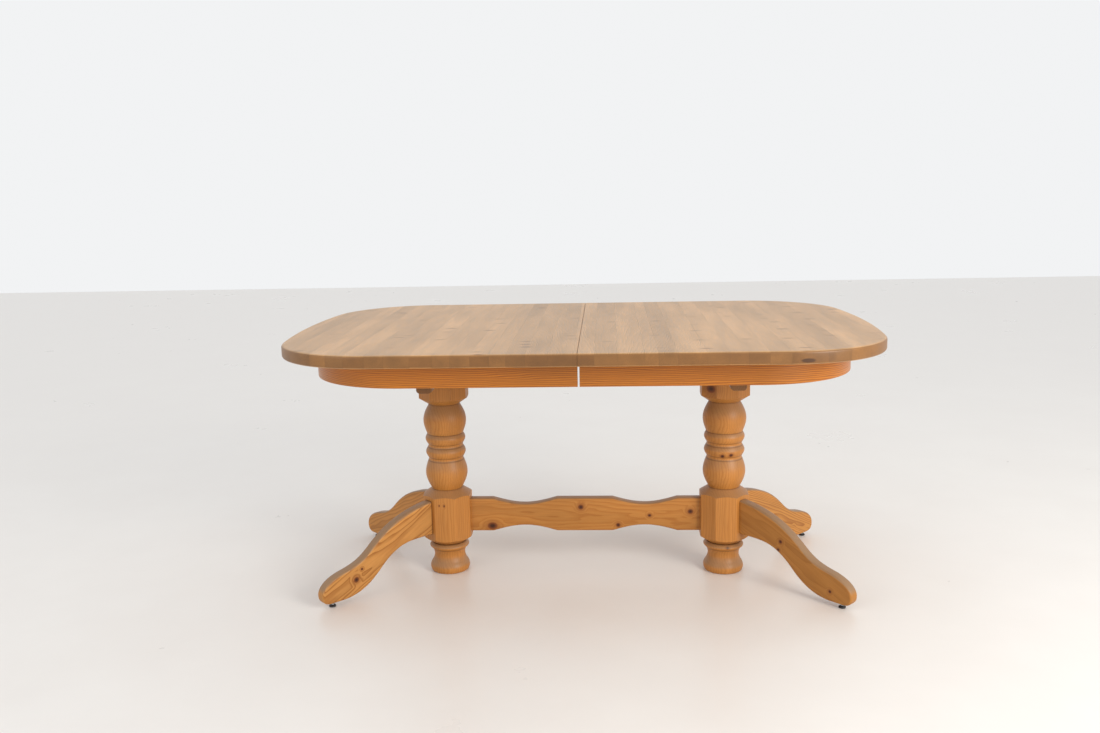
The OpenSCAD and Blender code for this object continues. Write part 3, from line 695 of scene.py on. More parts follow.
def bent_band(side, material):
    """The section's points are (depth, height): depth is the outline's inset, height is Z."""
    section = rounded_section(BAND_THICK, band_high.z - band_low.z, BAND_ROUND)
    lines = [half_outline(**BAND, inset=depth) for depth, _ in section]
    rails = [
        np.column_stack([line, np.full(len(line), band_low.z + z)])
        for line, (_, z) in zip(lines, section)
    ]
    grid = np.stack(rails, 1)
    rows, columns = grid.shape[:2]
    outer = half_outline(**BAND)
    along = np.concatenate([[0], np.cumsum(np.linalg.norm(np.diff(outer, axis=0), axis=1))])
    unbent = np.stack([
        np.repeat(along[:, None] + (OTHER_PLANK if side < 0 else 0), columns, 1),
        np.repeat(section[None, :, 0], rows, 0), np.repeat(section[None, :, 1], rows, 0),
    ], -1)
    name = LEFT_RIGHT[side]
    piece = make_piece(
        f"apron_{name}_band", f"{name}_half", grid * (side, 1, 1),
        flat_ended(rows, columns), [material], [f"apron_{name}"],
    )
    give(piece, "unbent", unbent.reshape(-1, 3))
    return piece


band_pine = pine(
    "bent pine band, orange lacquer", "#c0751d", "#8c4a0e", origin=(0.0, 0.055, -0.075),
    turn=(0.0, 0.0, 0.0), ring=4.2 * MM, band="unbent", dust_and_shade=0, gloss=0.4, roughness=0.33,
)
bent_band(-1, band_pine)
bent_band(1, band_pine)

# %% [markdown]
# ## The turned pedestals
# A pedestal starts as a glued square post. Its corners are planed off to an octagon, then the lathe
# cuts the bulbs, rings and neck between the two blocks, and leaves cones where they meet the flats.
# A surface of revolution alone has no flats, so here the radius depends on angle and height: it is
# the smaller of the turned radius and the octagon's. Rows are placed where a cone meets the flats,
# a little different at each angle, so the scalloped line between them comes out crisp.

# %% Sizes of a pedestal
post_low, post_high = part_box("pedestal_right")
PEDESTAL_X = (post_low.x + post_high.x) / 2
FLAT = (post_high.x - post_low.x) / 2
FACE = 62 * MM
DIAGONAL = (FLAT + FACE / 2) / math.sqrt(2)
EASED = 260             # the power that rounds the octagon's corners: the higher, the crisper
POST_ARRIS = 1.2 * MM
UPPER_BLOCK = 156 * MM
SHOULDER_TOP = 263 * MM
SHOULDER_LOW = 91 * MM
CONE = 0.67
NECK = 46 * MM
UPPER_LOW = post_high.z - UPPER_BLOCK
COLUMN_JOINTS = np.array([46, 54, 54, 54, 54, 54, 46]) * MM
COLUMN_PEAKS = np.array([64, 60, 52, 60, 52, 63]) * MM
COLUMN_SHARES = np.array([91, 30, 11, 30, 11, 88])
FOOT_JOINTS = np.array([52, 52, 52, 57]) * MM
FOOT_PEAKS = np.array([60, 46.5, 60]) * MM
FOOT_HEIGHTS = np.array([91, 72, 34, 1]) * MM
passed = np.cumsum([0, *COLUMN_SHARES]) / COLUMN_SHARES.sum()
column_heights = UPPER_LOW - (UPPER_LOW - SHOULDER_TOP) * passed
print("turnings start at heights", np.round(column_heights, 3))


# %% A pedestal's surface
def swellings(joints, peaks, heights, steps):
    """Radius and height down a row of turnings: each goes from one joint's radius to the next, and
    half a sine wave swells its middle out, or hollows it in, to its peak."""
    rows = []
    for r0, r1, peak, z0, z1, n in zip(joints, joints[1:], peaks, heights, heights[1:], steps):
        t = np.linspace(0, 1, n, endpoint=False)
        r = r0 + (r1 - r0) * t + (peak - (r0 + r1) / 2) * np.sin(math.pi * t)
        rows.append(np.stack([r, z0 + (z1 - z0) * t], -1))
    return np.concatenate(rows + [[[joints[-1], heights[-1]]]])


def octagon(angle):
    """Radius of the eased octagon: each flat alone gives distance / cos(angle from its middle), and
    a high power mean of their inverses keeps the smallest one but rounds the corners."""
    flats = np.arange(8) * math.pi / 4
    away = np.where(np.arange(8) % 2, DIAGONAL, FLAT)
    inverse = np.maximum(np.cos(angle[:, None] - flats), 0) / away
    return (inverse**EASED).sum(1) ** (-1 / EASED)


def post_angles():
    """Angles round the post: 13 steps across each flat, and close ones round each corner."""
    corner = math.atan2(FACE / 2, FLAT)
    corners = np.array([side * corner + n * math.pi / 2 for n in range(4) for side in (-1, 1)])
    close = np.radians([-1.5, -1.0, -0.6, -0.3, 0, 0.3, 0.6, 1.0, 1.5])
    middle = []
    for a, b in zip(corners, [*corners[1:], corners[0] + 2 * math.pi]):
        middle.append(np.linspace(a + close[-1], b + close[0], 14)[1:-1])
    around = np.concatenate([(corners[:, None] + close).ravel(), *middle])
    return np.sort(np.unique(np.round(around, 6)))


def block_rows(angle, top, low, cone_top, cone_low, steps=9):
    """Rows down one octagonal block. On a cone, height = end -+ slope * (radius - neck); the flats
    run between the two heights at which the cones reach the octagon's radius."""
    eight = octagon(angle)
    t = np.linspace(0, 1, steps)[:, None]
    cone_r = NECK + (eight - NECK) * t
    rows_r, rows_z = [], []
    start, end = np.full_like(eight, top), np.full_like(eight, low)
    if cone_top:
        rows_r.append(cone_r)
        rows_z.append(top - CONE * (cone_r - NECK))
        start = top - CONE * (eight - NECK)
    if cone_low:
        end = low + CONE * (eight - NECK)
    rows_r.append(np.repeat(eight[None], 6, 0)[1 if cone_top else 0 :])
    rows_z.append((start + (end - start) * np.linspace(0, 1, 6)[:, None])[1 if cone_top else 0 :])
    if cone_low:
        rows_r.append(cone_r[-2::-1])
        rows_z.append(low + CONE * (cone_r[-2::-1] - NECK))
    return np.concatenate(rows_r), np.concatenate(rows_z)


# grime and painted shade in the grooves between turnings: strength, fade in height, reach from the axis
GROOVE_GRIME_AND_SHADE = np.array([0.5, 0.6, 0.5, 0.6, 0.5, 0.6, 0.5, 0.3, 0.5])     # in each groove, going down
GRIME_AND_SHADE_WIDTH = 1.5 * MM
GRIME_AND_SHADE_REACH = 60 * MM       # no further from the axis, so the flats of the blocks stay clean


def pedestal(side, material):
    """All rows from the top face down to the foot, each with a radius and a height at every angle.
    A groove's grime and painted shade fade with its distance d in height: strength * e^-(d / width)^2."""
    angle = post_angles()
    one = np.ones_like(angle)
    upper_r, upper_z = block_rows(angle, post_high.z - POST_ARRIS, UPPER_LOW, False, True)
    column = swellings(COLUMN_JOINTS, COLUMN_PEAKS, column_heights, (44, 22, 9, 22, 9, 44))[1:-1]
    lower_r, lower_z = block_rows(angle, SHOULDER_TOP, SHOULDER_LOW, True, True)
    foot = swellings(FOOT_JOINTS, FOOT_PEAKS, FOOT_HEIGHTS, (20, 20, 20))
    foot[-1] = (FOOT_JOINTS[-1] - MM, FOOT_HEIGHTS[-1])
    radius = np.concatenate([
        [upper_r[0] - POST_ARRIS], upper_r, column[:, :1] * one, lower_r, foot[:, :1] * one,
    ])
    height = np.concatenate([
        [np.full_like(angle, post_high.z)], upper_z, column[:, 1:] * one, lower_z, foot[:, 1:] * one,
    ])
    radius, height = radius[::-1], height[::-1]
    grid = np.stack([radius * np.cos(angle), radius * np.sin(angle), height], -1)
    points, faces = tipped(grid, (0, 0, height[0, 0]), (0, 0, height[-1, 0]))
    name = LEFT_RIGHT[side]
    piece = make_piece(
        f"pedestal_{name}_post", "base", points + (side * PEDESTAL_X, 0, 0), faces,
        [material], [f"pedestal_{name}"], smooth=24,
    )
    joints = np.concatenate([column_heights, FOOT_HEIGHTS[:2]])
    # each groove's grime and painted shade, kept with each point of the post
    grime = (GROOVE_GRIME_AND_SHADE * np.exp(-(((points[:, 2:] - joints) / GRIME_AND_SHADE_WIDTH) ** 2))).max(1)
    give(piece, "grime", np.where(np.hypot(points[:, 0], points[:, 1]) < GRIME_AND_SHADE_REACH, grime, 0))
    return piece


# %% [markdown]
# The post is sawn beside the pith, which lies 160 mm to its right, so the rings run as upright lines
# that only bend a little over the bulbs. Its knots are placed where a branch really left this trunk.

# %% Pine of the posts
UPRIGHT = (0.0, -math.pi / 2, 0.0)
POST_KNOTS = {      # each knot's centre, in metres, and its three radii
    -1: [
        ((-0.421, -0.071, 0.222), (2.5 * MM, 6 * MM, 4 * MM)),
        ((-0.436, -0.071, 0.223), (2 * MM, 6 * MM, 3 * MM)),
    ],
    1: [
        ((0.409, -0.056, 0.368), (6 * MM, 9 * MM, 6 * MM)),
        ((0.434, -0.056, 0.371), (6.5 * MM, 9 * MM, 6 * MM)),
        ((0.427, -0.060, 0.085), (5 * MM, 8 * MM, 4.5 * MM)),
        ((0.369, -0.058, 0.571), (21 * MM, 16 * MM, 13 * MM)),
    ],
}
BOLT_RECESS_R = 10 * MM
BOLT_RECESS_PAST = 20 * MM
SLOT_PLAY = 0.1 * MM
bolt_low, bolt_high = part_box("stretcher_bolts")
bearer_low, bearer_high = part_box("bearer_right")


def post_cutters(side):
    """Two cutters: the sunk hole for the stretcher's bolt, a rod along X in the outer face, and the
    bearer's slot, a square rod along Y whose lower and upper faces are set to the slot's heights."""
    points, faces = rod(BOLT_RECESS_R, bolt_high.x - CUT_PAST, bolt_high.x + BOLT_RECESS_PAST)
    recess = stand_along(points, "x", (0, 0, (bolt_low.z + bolt_high.z) / 2)) * (side, 1, 1)
    reach = FLAT + BOLT_RECESS_PAST
    half_diagonal = (bearer_high.x - bearer_low.x) / math.sqrt(2) + SLOT_PLAY
    slot, slot_faces = rod(half_diagonal, -reach, reach, 4, math.pi / 4)
    slot = stand_along(slot, "y", (0, 0, 0))
    slot[:, 2] = np.where(slot[:, 2] < 0, bearer_low.z - SLOT_PLAY, post_high.z + CUT_PAST)
    slot += (side * PEDESTAL_X, 0, 0)
    return [(recess, [block[:, ::side] for block in faces]), (slot, slot_faces)]


for side, name in LEFT_RIGHT.items():
    # dust and painted shade on faces that look up, and grime with painted shade in the grooves
    post_pine = pine(
        f"turned pine post {name}", "#bc7e3c", "#af7030",
        origin=(side * PEDESTAL_X + 0.16, 0.02, 0.0), turn=UPRIGHT, ring=6.5 * MM,
        knots=POST_KNOTS[side], hollow_grime_and_shade=True, dust_and_shade=0.55, dust_and_shade_from=0.02, gloss=0.34,
    )
    cut(pedestal(side, post_pine), post_cutters(side))

# %% [markdown]
# ## The legs
# Each leg is sawn from a board: an S-shaped outline cut through 32 mm of pine, with its edges
# rounded over by a router. A curve object could be extruded and bevelled, but the round would go
# round the root too, where the leg is cut square to meet the post. So the outline is made of Bezier
# curves, the rounded edge is a profile carried along it, and two flat many-cornered faces close it.

# %% Leg boards
LEG_REACH = 452 * MM
ROOT_LOW = 130 * MM
ROOT_HIGH = 234 * MM
TOE_LOW = 13 * MM
LEG_THICK = 32 * MM
LEG_ROUND = 6 * MM


def bezier_at(points, t):
    """Points of a cubic curve: u^3 a + 3 u^2 t b + 3 u t^2 c + t^3 d with u = 1 - t."""
    t = np.asarray(t)[:, None]
    u = 1 - t
    a, b, c, d = np.asarray(points, float)
    return u**3 * a + 3 * u**2 * t * b + 3 * u * t**2 * c + t**3 * d


def bezier(points, n):
    """n evenly timed points of a cubic curve, without its last point."""
    return bezier_at(points, np.linspace(0, 1, n, endpoint=False))


def leg_outline():
    """From the top of the root over the back of the leg to its toe, and under it to the root. The
    first and last curve get five close points at the root, for the painted shade in the gap where
    the leg meets its post."""
    root, toe = DIAGONAL / MM, LEG_REACH / MM
    low, high, sole = ROOT_LOW / MM, ROOT_HIGH / MM, TOE_LOW / MM
    curves = [
        ([(root, high), (160, high - 10), (222, 198), (282, 144)], 26),
        ([(282, 144), (320, 110), (340, 104), (toe - 64, 93)], 16),
        ([(toe - 64, 93), (toe - 30, 84), (toe, 66), (toe, 40)], 16),
        ([(toe, 40), (toe, 22), (toe - 10, sole), (toe - 28, sole)], 12),
        ([(toe - 28, sole), (toe - 43, sole), (toe - 57, sole), (toe - 72, sole)], 5),
        ([(toe - 72, sole), (332, 16), (298, 34), (262, 68)], 18),
        ([(262, 68), (232, 98), (200, 124), (150, low - 1)], 18),
        ([(150, low - 1), (125, low + 1), (100, low + 1), (root, low)], 10),
    ]
    rows = [bezier(points, n) for points, n in curves]
    near = np.array([0.004, 0.009, 0.016, 0.026])
    rows[0] = np.concatenate([rows[0][:1], bezier_at(curves[0][0], near), rows[0][1:]])
    rows[-1] = np.concatenate([rows[-1], bezier_at(curves[-1][0], 1 - 3 * near[::-1])])
    return np.concatenate(rows + [[(root, low)]]) * MM


def edge_profile(thick, radius, steps=6):
    """Inset and place across a rounded edge: the flat's border, a quarter circle, the edge itself,
    the other quarter circle and the other flat's border."""
    a = np.linspace(0, math.pi / 2, steps)
    inset = radius * (1 - np.sin(a))
    across = thick / 2 - radius * (1 - np.cos(a))
    inset = np.concatenate([[radius + MM], inset, inset[::-1], [radius + MM]])
    across = np.concatenate([[thick / 2], across, -across[::-1], [-thick / 2]])
    return inset, across


def leg(side, depth, material, gap_shade):
    """Outline point minus inset times the outward normal; the normal is the outline's direction
    turned by a quarter, and upright at the root, so that the cut end stays flat. The last argument
    gives the strength and the width in mm of the painted shade in the gap where the leg meets its
    post, which fades as on the posts."""
    outline = leg_outline()
    along = np.gradient(outline, axis=0)
    normal = np.stack([-along[:, 1], along[:, 0]], -1)
    normal /= np.linalg.norm(normal, axis=1)[:, None]
    normal[0], normal[-1] = (0, 1), (0, -1)
    inset, across = edge_profile(LEG_THICK, LEG_ROUND)
    flat = outline[:, None] - normal[:, None] * inset[:, None]
    out = np.array([side, depth]) / math.sqrt(2)
    sideways = np.array([-depth, side]) / math.sqrt(2)
    plan = flat[..., :1] * out + across[:, None] * sideways
    grid = np.concatenate([plan + (side * PEDESTAL_X, 0), flat[..., 1:]], -1)
    rows, columns = grid.shape[:2]
    row_start = np.arange(rows) * columns
    root = np.concatenate([np.arange(columns), np.arange(columns)[::-1] + (rows - 1) * columns])
    faces = [
        grid_faces(rows, columns, False),
        row_start[None, :], (row_start + columns - 1)[None, ::-1], root[None, ::-1],
    ]
    name = f"leg_{FRONT_BACK[depth]}_{LEFT_RIGHT[side]}"
    piece = make_piece(
        name + "_board", "base", grid, faces, [material], [name], smooth=28
    )
    # painted shade in the gap where the leg meets its post, kept with each point
    strength, width = gap_shade
    jagged = width * MM * (1 + 0.5 * np.sin(flat[..., 1] / (5 * MM)) * np.sin(flat[..., 1] / (13 * MM)))
    give(piece, "grime", strength * np.exp(-(((flat[..., 0] - DIAGONAL) / jagged) ** 2)))
    return piece


# %% [markdown]
# A leg's grain runs along the board, from the root down to the toe, at about 25 degrees. Each leg
# came from another plank, so tone, pith and knots differ: the front right one is the darkest. Feet
# rub along the upper edges, which are worn grey and dusty; that greyish brown is also painted
# shade, since the top keeps the light off faces that look up. Where a leg meets its post, a dark
# line is painted as the shade in the gap between them.

# %% Pine of the legs
LEG_SLOPE = math.radians(25)
# each look's third entry is the painted shade in the gap at the root, as strength and width in mm
LEG_LOOKS = {           # knots are given by reach from the post's axis, height and size in mm
    (-1, -1): dict(light="#c38947", dark="#9a6027", gap_shade=(0.95, 5), pith=(-0.062, 0.237),
                   knots=[(0.343, 0.063, 9), (0.323, 0.090, 4)]),
    (1, -1): dict(light="#b17736", dark="#a36a2d", gap_shade=(0.5, 2), pith=(0.11, 0.250),
                  knots=[(0.219, 0.144, 6), (0.212, 0.118, 5), (0.385, 0.042, 5), (0.345, 0.014, 7)]),
    (-1, 1): dict(light="#be823e", dark="#a2692e", gap_shade=(0.5, 2), pith=(0.05, 0.230),
                  knots=[(0.205, 0.166, 4)]),
    (1, 1): dict(light="#c18642", dark="#9a5e27", gap_shade=(0.5, 2), pith=(-0.04, 0.225),
                 knots=[(0.362, 0.050, 8)]),
}
for (side, depth), look in LEG_LOOKS.items():
    heading = math.atan2(depth, side)
    knots = []
    for reach, height, size in look["knots"]:
        centre = np.array([side * PEDESTAL_X, 0]) + reach * np.array([side, depth]) / math.sqrt(2)
        centre = centre + np.array([-side, -1]) / math.sqrt(2) * LEG_THICK / 2
        knots.append(((*centre, height), (size * MM, size * MM, size * MM)))
    aside, high = look["pith"]
    pith = (side * PEDESTAL_X - math.sin(heading) * aside, math.cos(heading) * aside, high)
    # dust and painted shade on faces that look up, and the painted shade in the gap at the root
    leg_pine = pine(
        f"sawn pine leg {FRONT_BACK[depth]} {LEFT_RIGHT[side]}", look["light"], look["dark"],
        origin=pith, turn=(0.0, LEG_SLOPE, heading), ring=5.0 * MM, knots=knots,
        hollow_grime_and_shade=True, dust_and_shade=0.9, dust_and_shade_from=0.15,
    )
    leg(side, depth, leg_pine, look["gap_shade"])

# %% [markdown]
# ## The stretcher and the bearers
# The stretcher is a board with two waists in each edge, a tenon on each end and rounded edges. It is
# a rounded section carried along X, whose height follows the waists: half a sine wave for each.

# %% Stretcher board
board_low, board_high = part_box("stretcher")
TENON = 30 * MM
WAIST = 18 * MM
WAVE = 195 * MM
STRAIGHT_END = 70 * MM
STRETCHER_ROUND = 5 * MM
SHOULDER = 6 * MM
HALF_BOARD = board_high.x - TENON


def waist(x):
    """How far both edges are cut in at x: half a sine wave over each waist, none elsewhere."""
    t = (np.abs(x) - (HALF_BOARD - STRAIGHT_END - WAVE)) / WAVE
    return np.where((t > 0) & (t < 1), WAIST * np.sin(math.pi * t), 0)


def stretcher_rows():
    """At each cut along X, the section is a rounded rectangle: the board's own size, less twice the
    tenon's shoulder and twice the waist's depth there."""
    tenon = [
        (board_high.x, SHOULDER + MM, WAIST + MM), (board_high.x - MM, SHOULDER, WAIST),
        (HALF_BOARD, SHOULDER, WAIST),
    ]
    middle = np.linspace(-HALF_BOARD, HALF_BOARD, 181)
    cuts = [(-x, thin, short) for x, thin, short in tenon]
    cuts += [(x, 0.0, float(w)) for x, w in zip(middle, waist(middle))]
    rows = []
    for x, thin, short in cuts + tenon[::-1]:
        width = board_high.y - board_low.y - 2 * thin
        height = board_high.z - board_low.z - 2 * short
        section = rounded_section(width, height, min(STRETCHER_ROUND, width / 2.1, height / 2.1))
        section = section + (board_low.y + thin, board_low.z + short)
        rows.append(np.column_stack([np.full(len(section), x), section]))
    return np.stack(rows)


STRETCHER_KNOTS = [
    ((-0.012, -0.015, 0.200), (9 * MM, 12 * MM, 8.5 * MM)),
    ((-0.283, -0.015, 0.141), (16 * MM, 18 * MM, 12 * MM)),
    ((0.101, -0.015, 0.143), (7 * MM, 10 * MM, 7 * MM)),
    ((0.196, -0.015, 0.173), (6 * MM, 9 * MM, 5 * MM)),
    ((0.319, -0.015, 0.185), (9 * MM, 12 * MM, 8 * MM)),
]
# the stretcher takes the usual dust and painted shade on faces that look up
stretcher_pine = pine(
    "sawn pine stretcher", "#b57a3a", "#a86b2e", origin=(0.0, 0.075, 0.175), turn=(0.0, 0.01, 0.015),
    ring=5.0 * MM, knots=STRETCHER_KNOTS,
)
board = stretcher_rows()
make_piece(
    "stretcher_board", "base", board, flat_ended(*board.shape[:2]),
    [stretcher_pine], ["stretcher"], smooth=28,
)

# %% [markdown]
# The bearers are bars that carry the top on the pedestals. Their lower edges are rounded, their upper
# ones are square, so the section is drawn as half an outline and its mirror image. They never got the
# tinted lacquer, so their pine is a dull greyish brown.

# %% Bearer bars
BEARER_ROUND = 10 * MM
BEARER_ARRIS = 1.5 * MM


def bearer_section(grow):
    """Square above, quarter circles below, all set in by grow; the corners above keep an arris."""
    width = bearer_high.x - bearer_low.x - 2 * grow
    height = bearer_high.z - bearer_low.z - 2 * grow
    a = np.linspace(0, math.pi / 2, 8)
    r, e = BEARER_ROUND - grow, BEARER_ARRIS
    arc = np.stack([width - r + r * np.sin(a), r - r * np.cos(a)], -1)
    right = np.concatenate([arc, [(width, height - e), (width - e, height)]])
    left = right[::-1] * (-1, 1) + (width, 0)
    return np.concatenate([right, left]) + grow


def bearer(side, material):
    """The section carried along Y, a little smaller at both ends, where the arris is."""
    ends = [(bearer_low.y, BEARER_ARRIS), (bearer_low.y + BEARER_ARRIS, 0.0)]
    stations = ends + [(-y, grow) for y, grow in ends[::-1]]
    x0 = side * PEDESTAL_X - (bearer_high.x - bearer_low.x) / 2
    grid = np.stack([
        np.column_stack([section[:, 0] + x0, np.full(len(section), y), section[:, 1] + bearer_low.z])
        for y, section in [(y, bearer_section(grow)) for y, grow in stations]
    ])
    name = f"bearer_{LEFT_RIGHT[side]}"
    return make_piece(
        name + "_bar", "base", grid, flat_ended(*grid.shape[:2]), [material], [name],
        smooth=28,
    )


bearer_pine = pine(
    "sawn pine bearer", "#8d633b", "#6e4a2a", origin=(0.12, 0.0, 0.60), turn=(0.0, 0.0, math.pi / 2),
    ring=3.4 * MM, dust_and_shade=0,
)
bearer(-1, bearer_pine)
bearer(1, bearer_pine)

# %% [markdown]
# ## The levellers
# A leveller is a moulded black foot on a zinc plated M6 screw. The thread is a helix: its radius
# rises and falls once per millimetre of height and once per turn, a function of angle and height.

# %% Moulded plastic and zinc
def black_plastic():
    """Moulded polyamide: near black, half matt, with the fine texture of its mould."""
    material, tree, output = new_material("moulded black polyamide")
    place = add(tree, "TexCoord").outputs["Object"]
    spark = add(tree, "TexNoise", {}, {"Vector": place, "Scale": 1 / (1.2 * MM), "Detail": 2.0})
    relief = add(tree, "Bump", {}, {"Height": spark.outputs[0], "Distance": 0.05 * MM, "Strength": 0.5})
    tint = add(
        tree, "Mix", COLOURS,
        {0: spark.outputs[0], MIX_A: linear("#141315"), MIX_B: linear("#29272a")},
    )
    shader = add(
        tree, "BsdfPrincipled", {},
        {"Base Color": tint.outputs[MIX_OUT], "Roughness": 0.48, "IOR": 1.53, "Normal": relief.outputs[0]},
    )
    tree.links.new(shader.outputs[0], output.inputs["Surface"])
    return material


def zinc_plate():
    """Bright zinc plated steel: a metal with a faint bluish crystal pattern, a few mm across."""
    material, tree, output = new_material("bright zinc plated steel")
    place = add(tree, "TexCoord").outputs["Object"]
    crystal = add(tree, "TexVoronoi", {}, {"Vector": place, "Scale": 1 / (2.5 * MM)})
    tint = add(
        tree, "Mix", COLOURS,
        {0: crystal.outputs["Distance"], MIX_A: linear("#c4c8cb"), MIX_B: linear("#9ea4a8")},
    )
    dull = add(tree, "MapRange", {}, {"Value": crystal.outputs["Distance"], "To Min": 0.26, "To Max": 0.42})
    shader = add(
        tree, "BsdfPrincipled", {},
        {"Base Color": tint.outputs[MIX_OUT], "Metallic": 1.0, "Roughness": dull.outputs[0]},
    )
    tree.links.new(shader.outputs[0], output.inputs["Surface"])
    return material


plastic = black_plastic()
zinc = zinc_plate()

# %% Feet and screws
THREAD_PITCH = 1.0 * MM
THREAD_DEPTH = 0.35 * MM
FOOT_HEIGHT = 5.5 * MM
SCREW_R = 3 * MM


def foot_profile(radius):
    """Foot from the floor up: a flat sole, a small chamfer, a quarter-ellipse dome, a flat top."""
    a = np.linspace(0, math.pi / 2, 9)
    dome = np.stack([radius - 4 * MM * (1 - np.cos(a)), FOOT_HEIGHT - 3 * MM * (1 - np.sin(a))], -1)
    head = [(0, 0), (radius - 1.4 * MM, 0), (radius - 0.4 * MM, 0.3 * MM), (radius, MM)]
    return np.concatenate([head, dome, [(4.5 * MM, FOOT_HEIGHT), (0, FOOT_HEIGHT)]])


def thread(low, high, columns=24, steps=8):
    """Threaded rod: radius = outer - depth * |2 fraction(height / pitch - turn) - 1|, and smooth at
    both ends, where the depth fades out."""
    z = np.linspace(low, high, int((high - low) / THREAD_PITCH * steps) + 1)[:, None]
    a = np.arange(columns) * 2 * math.pi / columns
    saw = np.abs(2 * np.mod(z / THREAD_PITCH - a / (2 * math.pi), 1) - 1)
    fade = np.clip(np.minimum(z - low, high - z) / THREAD_PITCH, 0, 1)
    r = SCREW_R - THREAD_DEPTH * saw * fade - 0.3 * MM * (1 - fade)
    body = np.stack([r * np.cos(a), r * np.sin(a), np.repeat(z, columns, 1)], -1)
    return tipped(body, (0, 0, low), (0, 0, high))


def leveller(name):
    """Foot and screw as one piece with two materials, since the foot is moulded round the screw."""
    low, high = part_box(name)
    centre = ((low.x + high.x) / 2, (low.y + high.y) / 2, 0)
    foot_points, foot_faces = lathe(foot_profile((high.x - low.x) / 2), 40)
    screw_points, screw_faces = thread(FOOT_HEIGHT - MM, high.z)
    points = np.concatenate([foot_points, screw_points]) + centre
    faces = foot_faces + [block + len(foot_points) for block in screw_faces]
    return make_piece(
        name + "_foot", name, points, faces, [plastic, zinc], [name], smooth=40,
        numbers=[0] * len(foot_faces) + [1] * len(screw_faces),
    )


for name in [n for n in nodes if n.startswith("leveller_") and n != "leveller_inserts"]:
    leveller(name)

# %% [markdown]
# ## The CAD parts that stay
# Rails, runners, glue blocks, keys, dowels and fasteners have their true shape already, so they keep
# their CAD mesh and only get a finish: bare planed pine, planed beech, or zinc plated steel.

# %% Bare wood and steel on the inner parts
def bare_wood(name, light, dark, ring, flecks=0.0):
    """Planed wood without lacquer: the same rings and fibres, no coat, a dull fuzzy surface. Beech
    adds short dark flecks, 3 mm long, which are its rays."""
    material, tree, output = new_material(name)
    place = add(tree, "TexCoord").outputs["Object"]
    board = add(tree, "Mapping", PLACED, {"Vector": place, "Location": (0.03, 0.05, 0.60)}).outputs[0]
    late, fibre, _ = growth(tree, board, ring)
    grain = add(tree, "Mix", COLOURS, {0: late, MIX_A: linear(light), MIX_B: linear(dark)})
    tone = add(
        tree, "MapRange", {},
        {"Value": fibre, "From Min": 0.2, "From Max": 0.8, "To Min": 0.86, "To Max": 1.1},
    )
    colour = add(
        tree, "VectorMath", {"operation": "SCALE"}, {0: grain.outputs[MIX_OUT], "Scale": tone.outputs[0]}
    ).outputs[0]
    if flecks:
        stretched = add(tree, "VectorMath", TIMES, {0: board, 1: (1 / (3 * MM), 1 / MM, 1 / MM)})
        ray = add(tree, "TexNoise", {}, {"Vector": stretched.outputs[0], "Scale": 1.0, "Detail": 0.0})
        spot = add(
            tree, "MapRange", {},
            {"Value": ray.outputs[0], "From Min": 0.62, "From Max": 0.7, "To Min": 0.0, "To Max": flecks},
        )
        colour = add(
            tree, "Mix", COLOURS, {0: spot.outputs[0], MIX_A: colour, MIX_B: linear("#8a5a34")}
        ).outputs[MIX_OUT]
    relief = add(tree, "Bump", {}, {"Height": fibre, "Distance": 0.15 * MM, "Strength": 0.7})
    shader = add(
        tree, "BsdfPrincipled", {},
        {"Base Color": colour, "Roughness": 0.68, "IOR": 1.5, "Normal": relief.outputs[0]},
    )
    tree.links.new(shader.outputs[0], output.inputs["Surface"])
    return material


raw_pine = bare_wood("planed bare pine", "#dfc294", "#b98f56", 3.4 * MM)
beech = bare_wood("planed beech", "#cfa678", "#bd9061", 1.6 * MM, flecks=0.5)
kept = {
    "screw": zinc, "bolt": zinc, "nut": zinc, "insert": zinc, "dowel": beech, "key": beech,
    "rail": raw_pine, "runner": raw_pine, "glue": raw_pine,
}
hidden = {node for row in bpy.data.objects for node in row.get("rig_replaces", [])}
for name in sorted(set(nodes) - hidden):
    word = next(key for key in kept if key in name)
    nodes[name].data.materials.clear()
    nodes[name].data.materials.append(kept[word])
    print(name, "->", kept[word].name)

# %% [markdown]
# ## A plain studio
# The table stands in a white room on a pale, slightly glossy floor. Most of the light comes from all
# round, off white walls, so the world is white; a large soft lamp at the right front gives the
# turnings their highlight, and a weaker one fills in from the left.

# %% Floor, light and camera
def studio_floor():
    """A painted floor: nearly white with a breath of pink, and large faint patches of wear."""
    material, tree, output = new_material("painted studio floor")
    place = add(tree, "TexCoord").outputs["Object"]
    patches = add(tree, "TexNoise", {}, {"Vector": place, "Scale": 2.2, "Detail": 5.0, "Roughness": 0.6})
    tint = add(
        tree, "Mix", COLOURS,
        {0: patches.outputs[0], MIX_A: linear("#e1dcd7"), MIX_B: linear("#ebe8e4")},
    )
    shine = add(tree, "MapRange", {}, {"Value": patches.outputs[0], "To Min": 0.2, "To Max": 0.42})
    shader = add(
        tree, "BsdfPrincipled", {},
        {"Base Color": tint.outputs[MIX_OUT], "Roughness": shine.outputs[0], "IOR": 1.45},
    )
    tree.links.new(shader.outputs[0], output.inputs["Surface"])
    return material


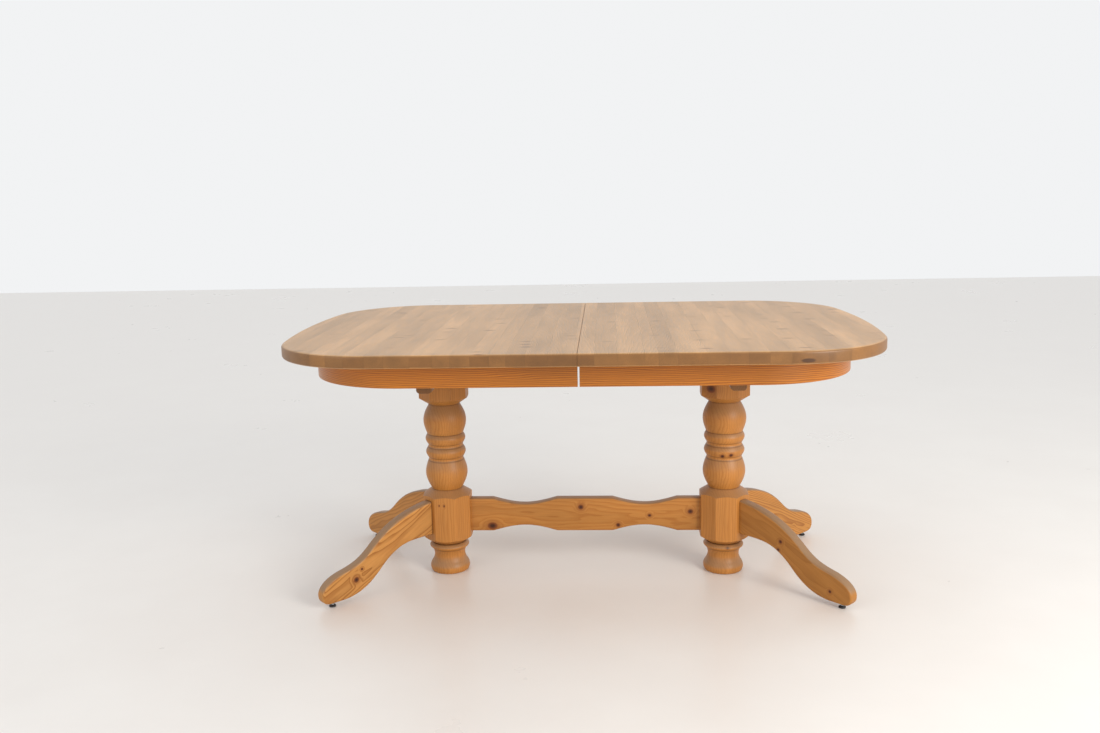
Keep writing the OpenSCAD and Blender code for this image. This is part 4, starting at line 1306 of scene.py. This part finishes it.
def soft_lamp(name, place, aim, size, power, colour):
    """A square area lamp whose face looks from its place to its aim."""
    lamp = bpy.data.lights.new(name, "AREA")
    lamp.size, lamp.energy, lamp.color = size, power, linear(colour)[:3]
    holder = bpy.data.objects.new(name, lamp)
    scene.collection.objects.link(holder)
    away = np.subtract(place, aim)
    yaw, rise = math.atan2(away[0], -away[1]), math.atan2(away[2], math.hypot(away[0], away[1]))
    holder.location = place
    holder.rotation_euler = (math.pi / 2 - rise, 0, yaw)


FLOOR_HALF = 9.0
floor_mesh = bpy.data.meshes.new("studio_floor")
floor_corners = np.array([(-1, -1, 0), (1, -1, 0), (1, 1, 0), (-1, 1, 0)]) * FLOOR_HALF
floor_mesh.from_pydata(floor_corners.tolist(), [], [(0, 1, 2, 3)])
floor_mesh.materials.append(studio_floor())
floor = bpy.data.objects.new("studio_floor", floor_mesh)
scene.collection.objects.link(floor)

world = bpy.data.worlds.new("white room")
world.use_nodes = True
background = world.node_tree.nodes["Background"]
background.inputs["Color"].default_value = linear("#f4f5f6")
background.inputs["Strength"].default_value = 0.98
scene.world = world
soft_lamp("window_lamp", (3.0, -2.9, 1.9), aim=(0, 0, 0.45), size=1.8, power=120, colour="#fffaf2")
soft_lamp("fill_lamp", (-3.0, -3.0, 2.2), aim=(0, 0, 0.5), size=2.2, power=20, colour="#f4f8ff")

CAMERA_PLACE = (0.0744, -2.955, 1.1649)
CAMERA_YAW, CAMERA_PITCH, CAMERA_ROLL = -0.0581, 0.178, 0.0213
forward = np.array([
    math.sin(CAMERA_YAW) * math.cos(CAMERA_PITCH), math.cos(CAMERA_YAW) * math.cos(CAMERA_PITCH),
    -math.sin(CAMERA_PITCH),
])
level = np.array([math.cos(CAMERA_YAW), -math.sin(CAMERA_YAW), 0])
down = np.cross(forward, level)
right = math.cos(CAMERA_ROLL) * level + math.sin(CAMERA_ROLL) * down
up = math.sin(CAMERA_ROLL) * level - math.cos(CAMERA_ROLL) * down
camera = bpy.data.objects.new("studio_camera", bpy.data.cameras.new("studio_camera"))
camera.data.lens, camera.data.sensor_width = 33.0, 36.0
scene.collection.objects.link(camera)
facing = np.column_stack([right, up, -forward])
camera.rotation_euler = Matrix(facing.tolist()).to_euler()
camera.location = CAMERA_PLACE
scene.camera = camera
scene.view_settings.view_transform = "Standard"
print("camera height", CAMERA_PLACE[2], "m, lens", camera.data.lens, "mm")
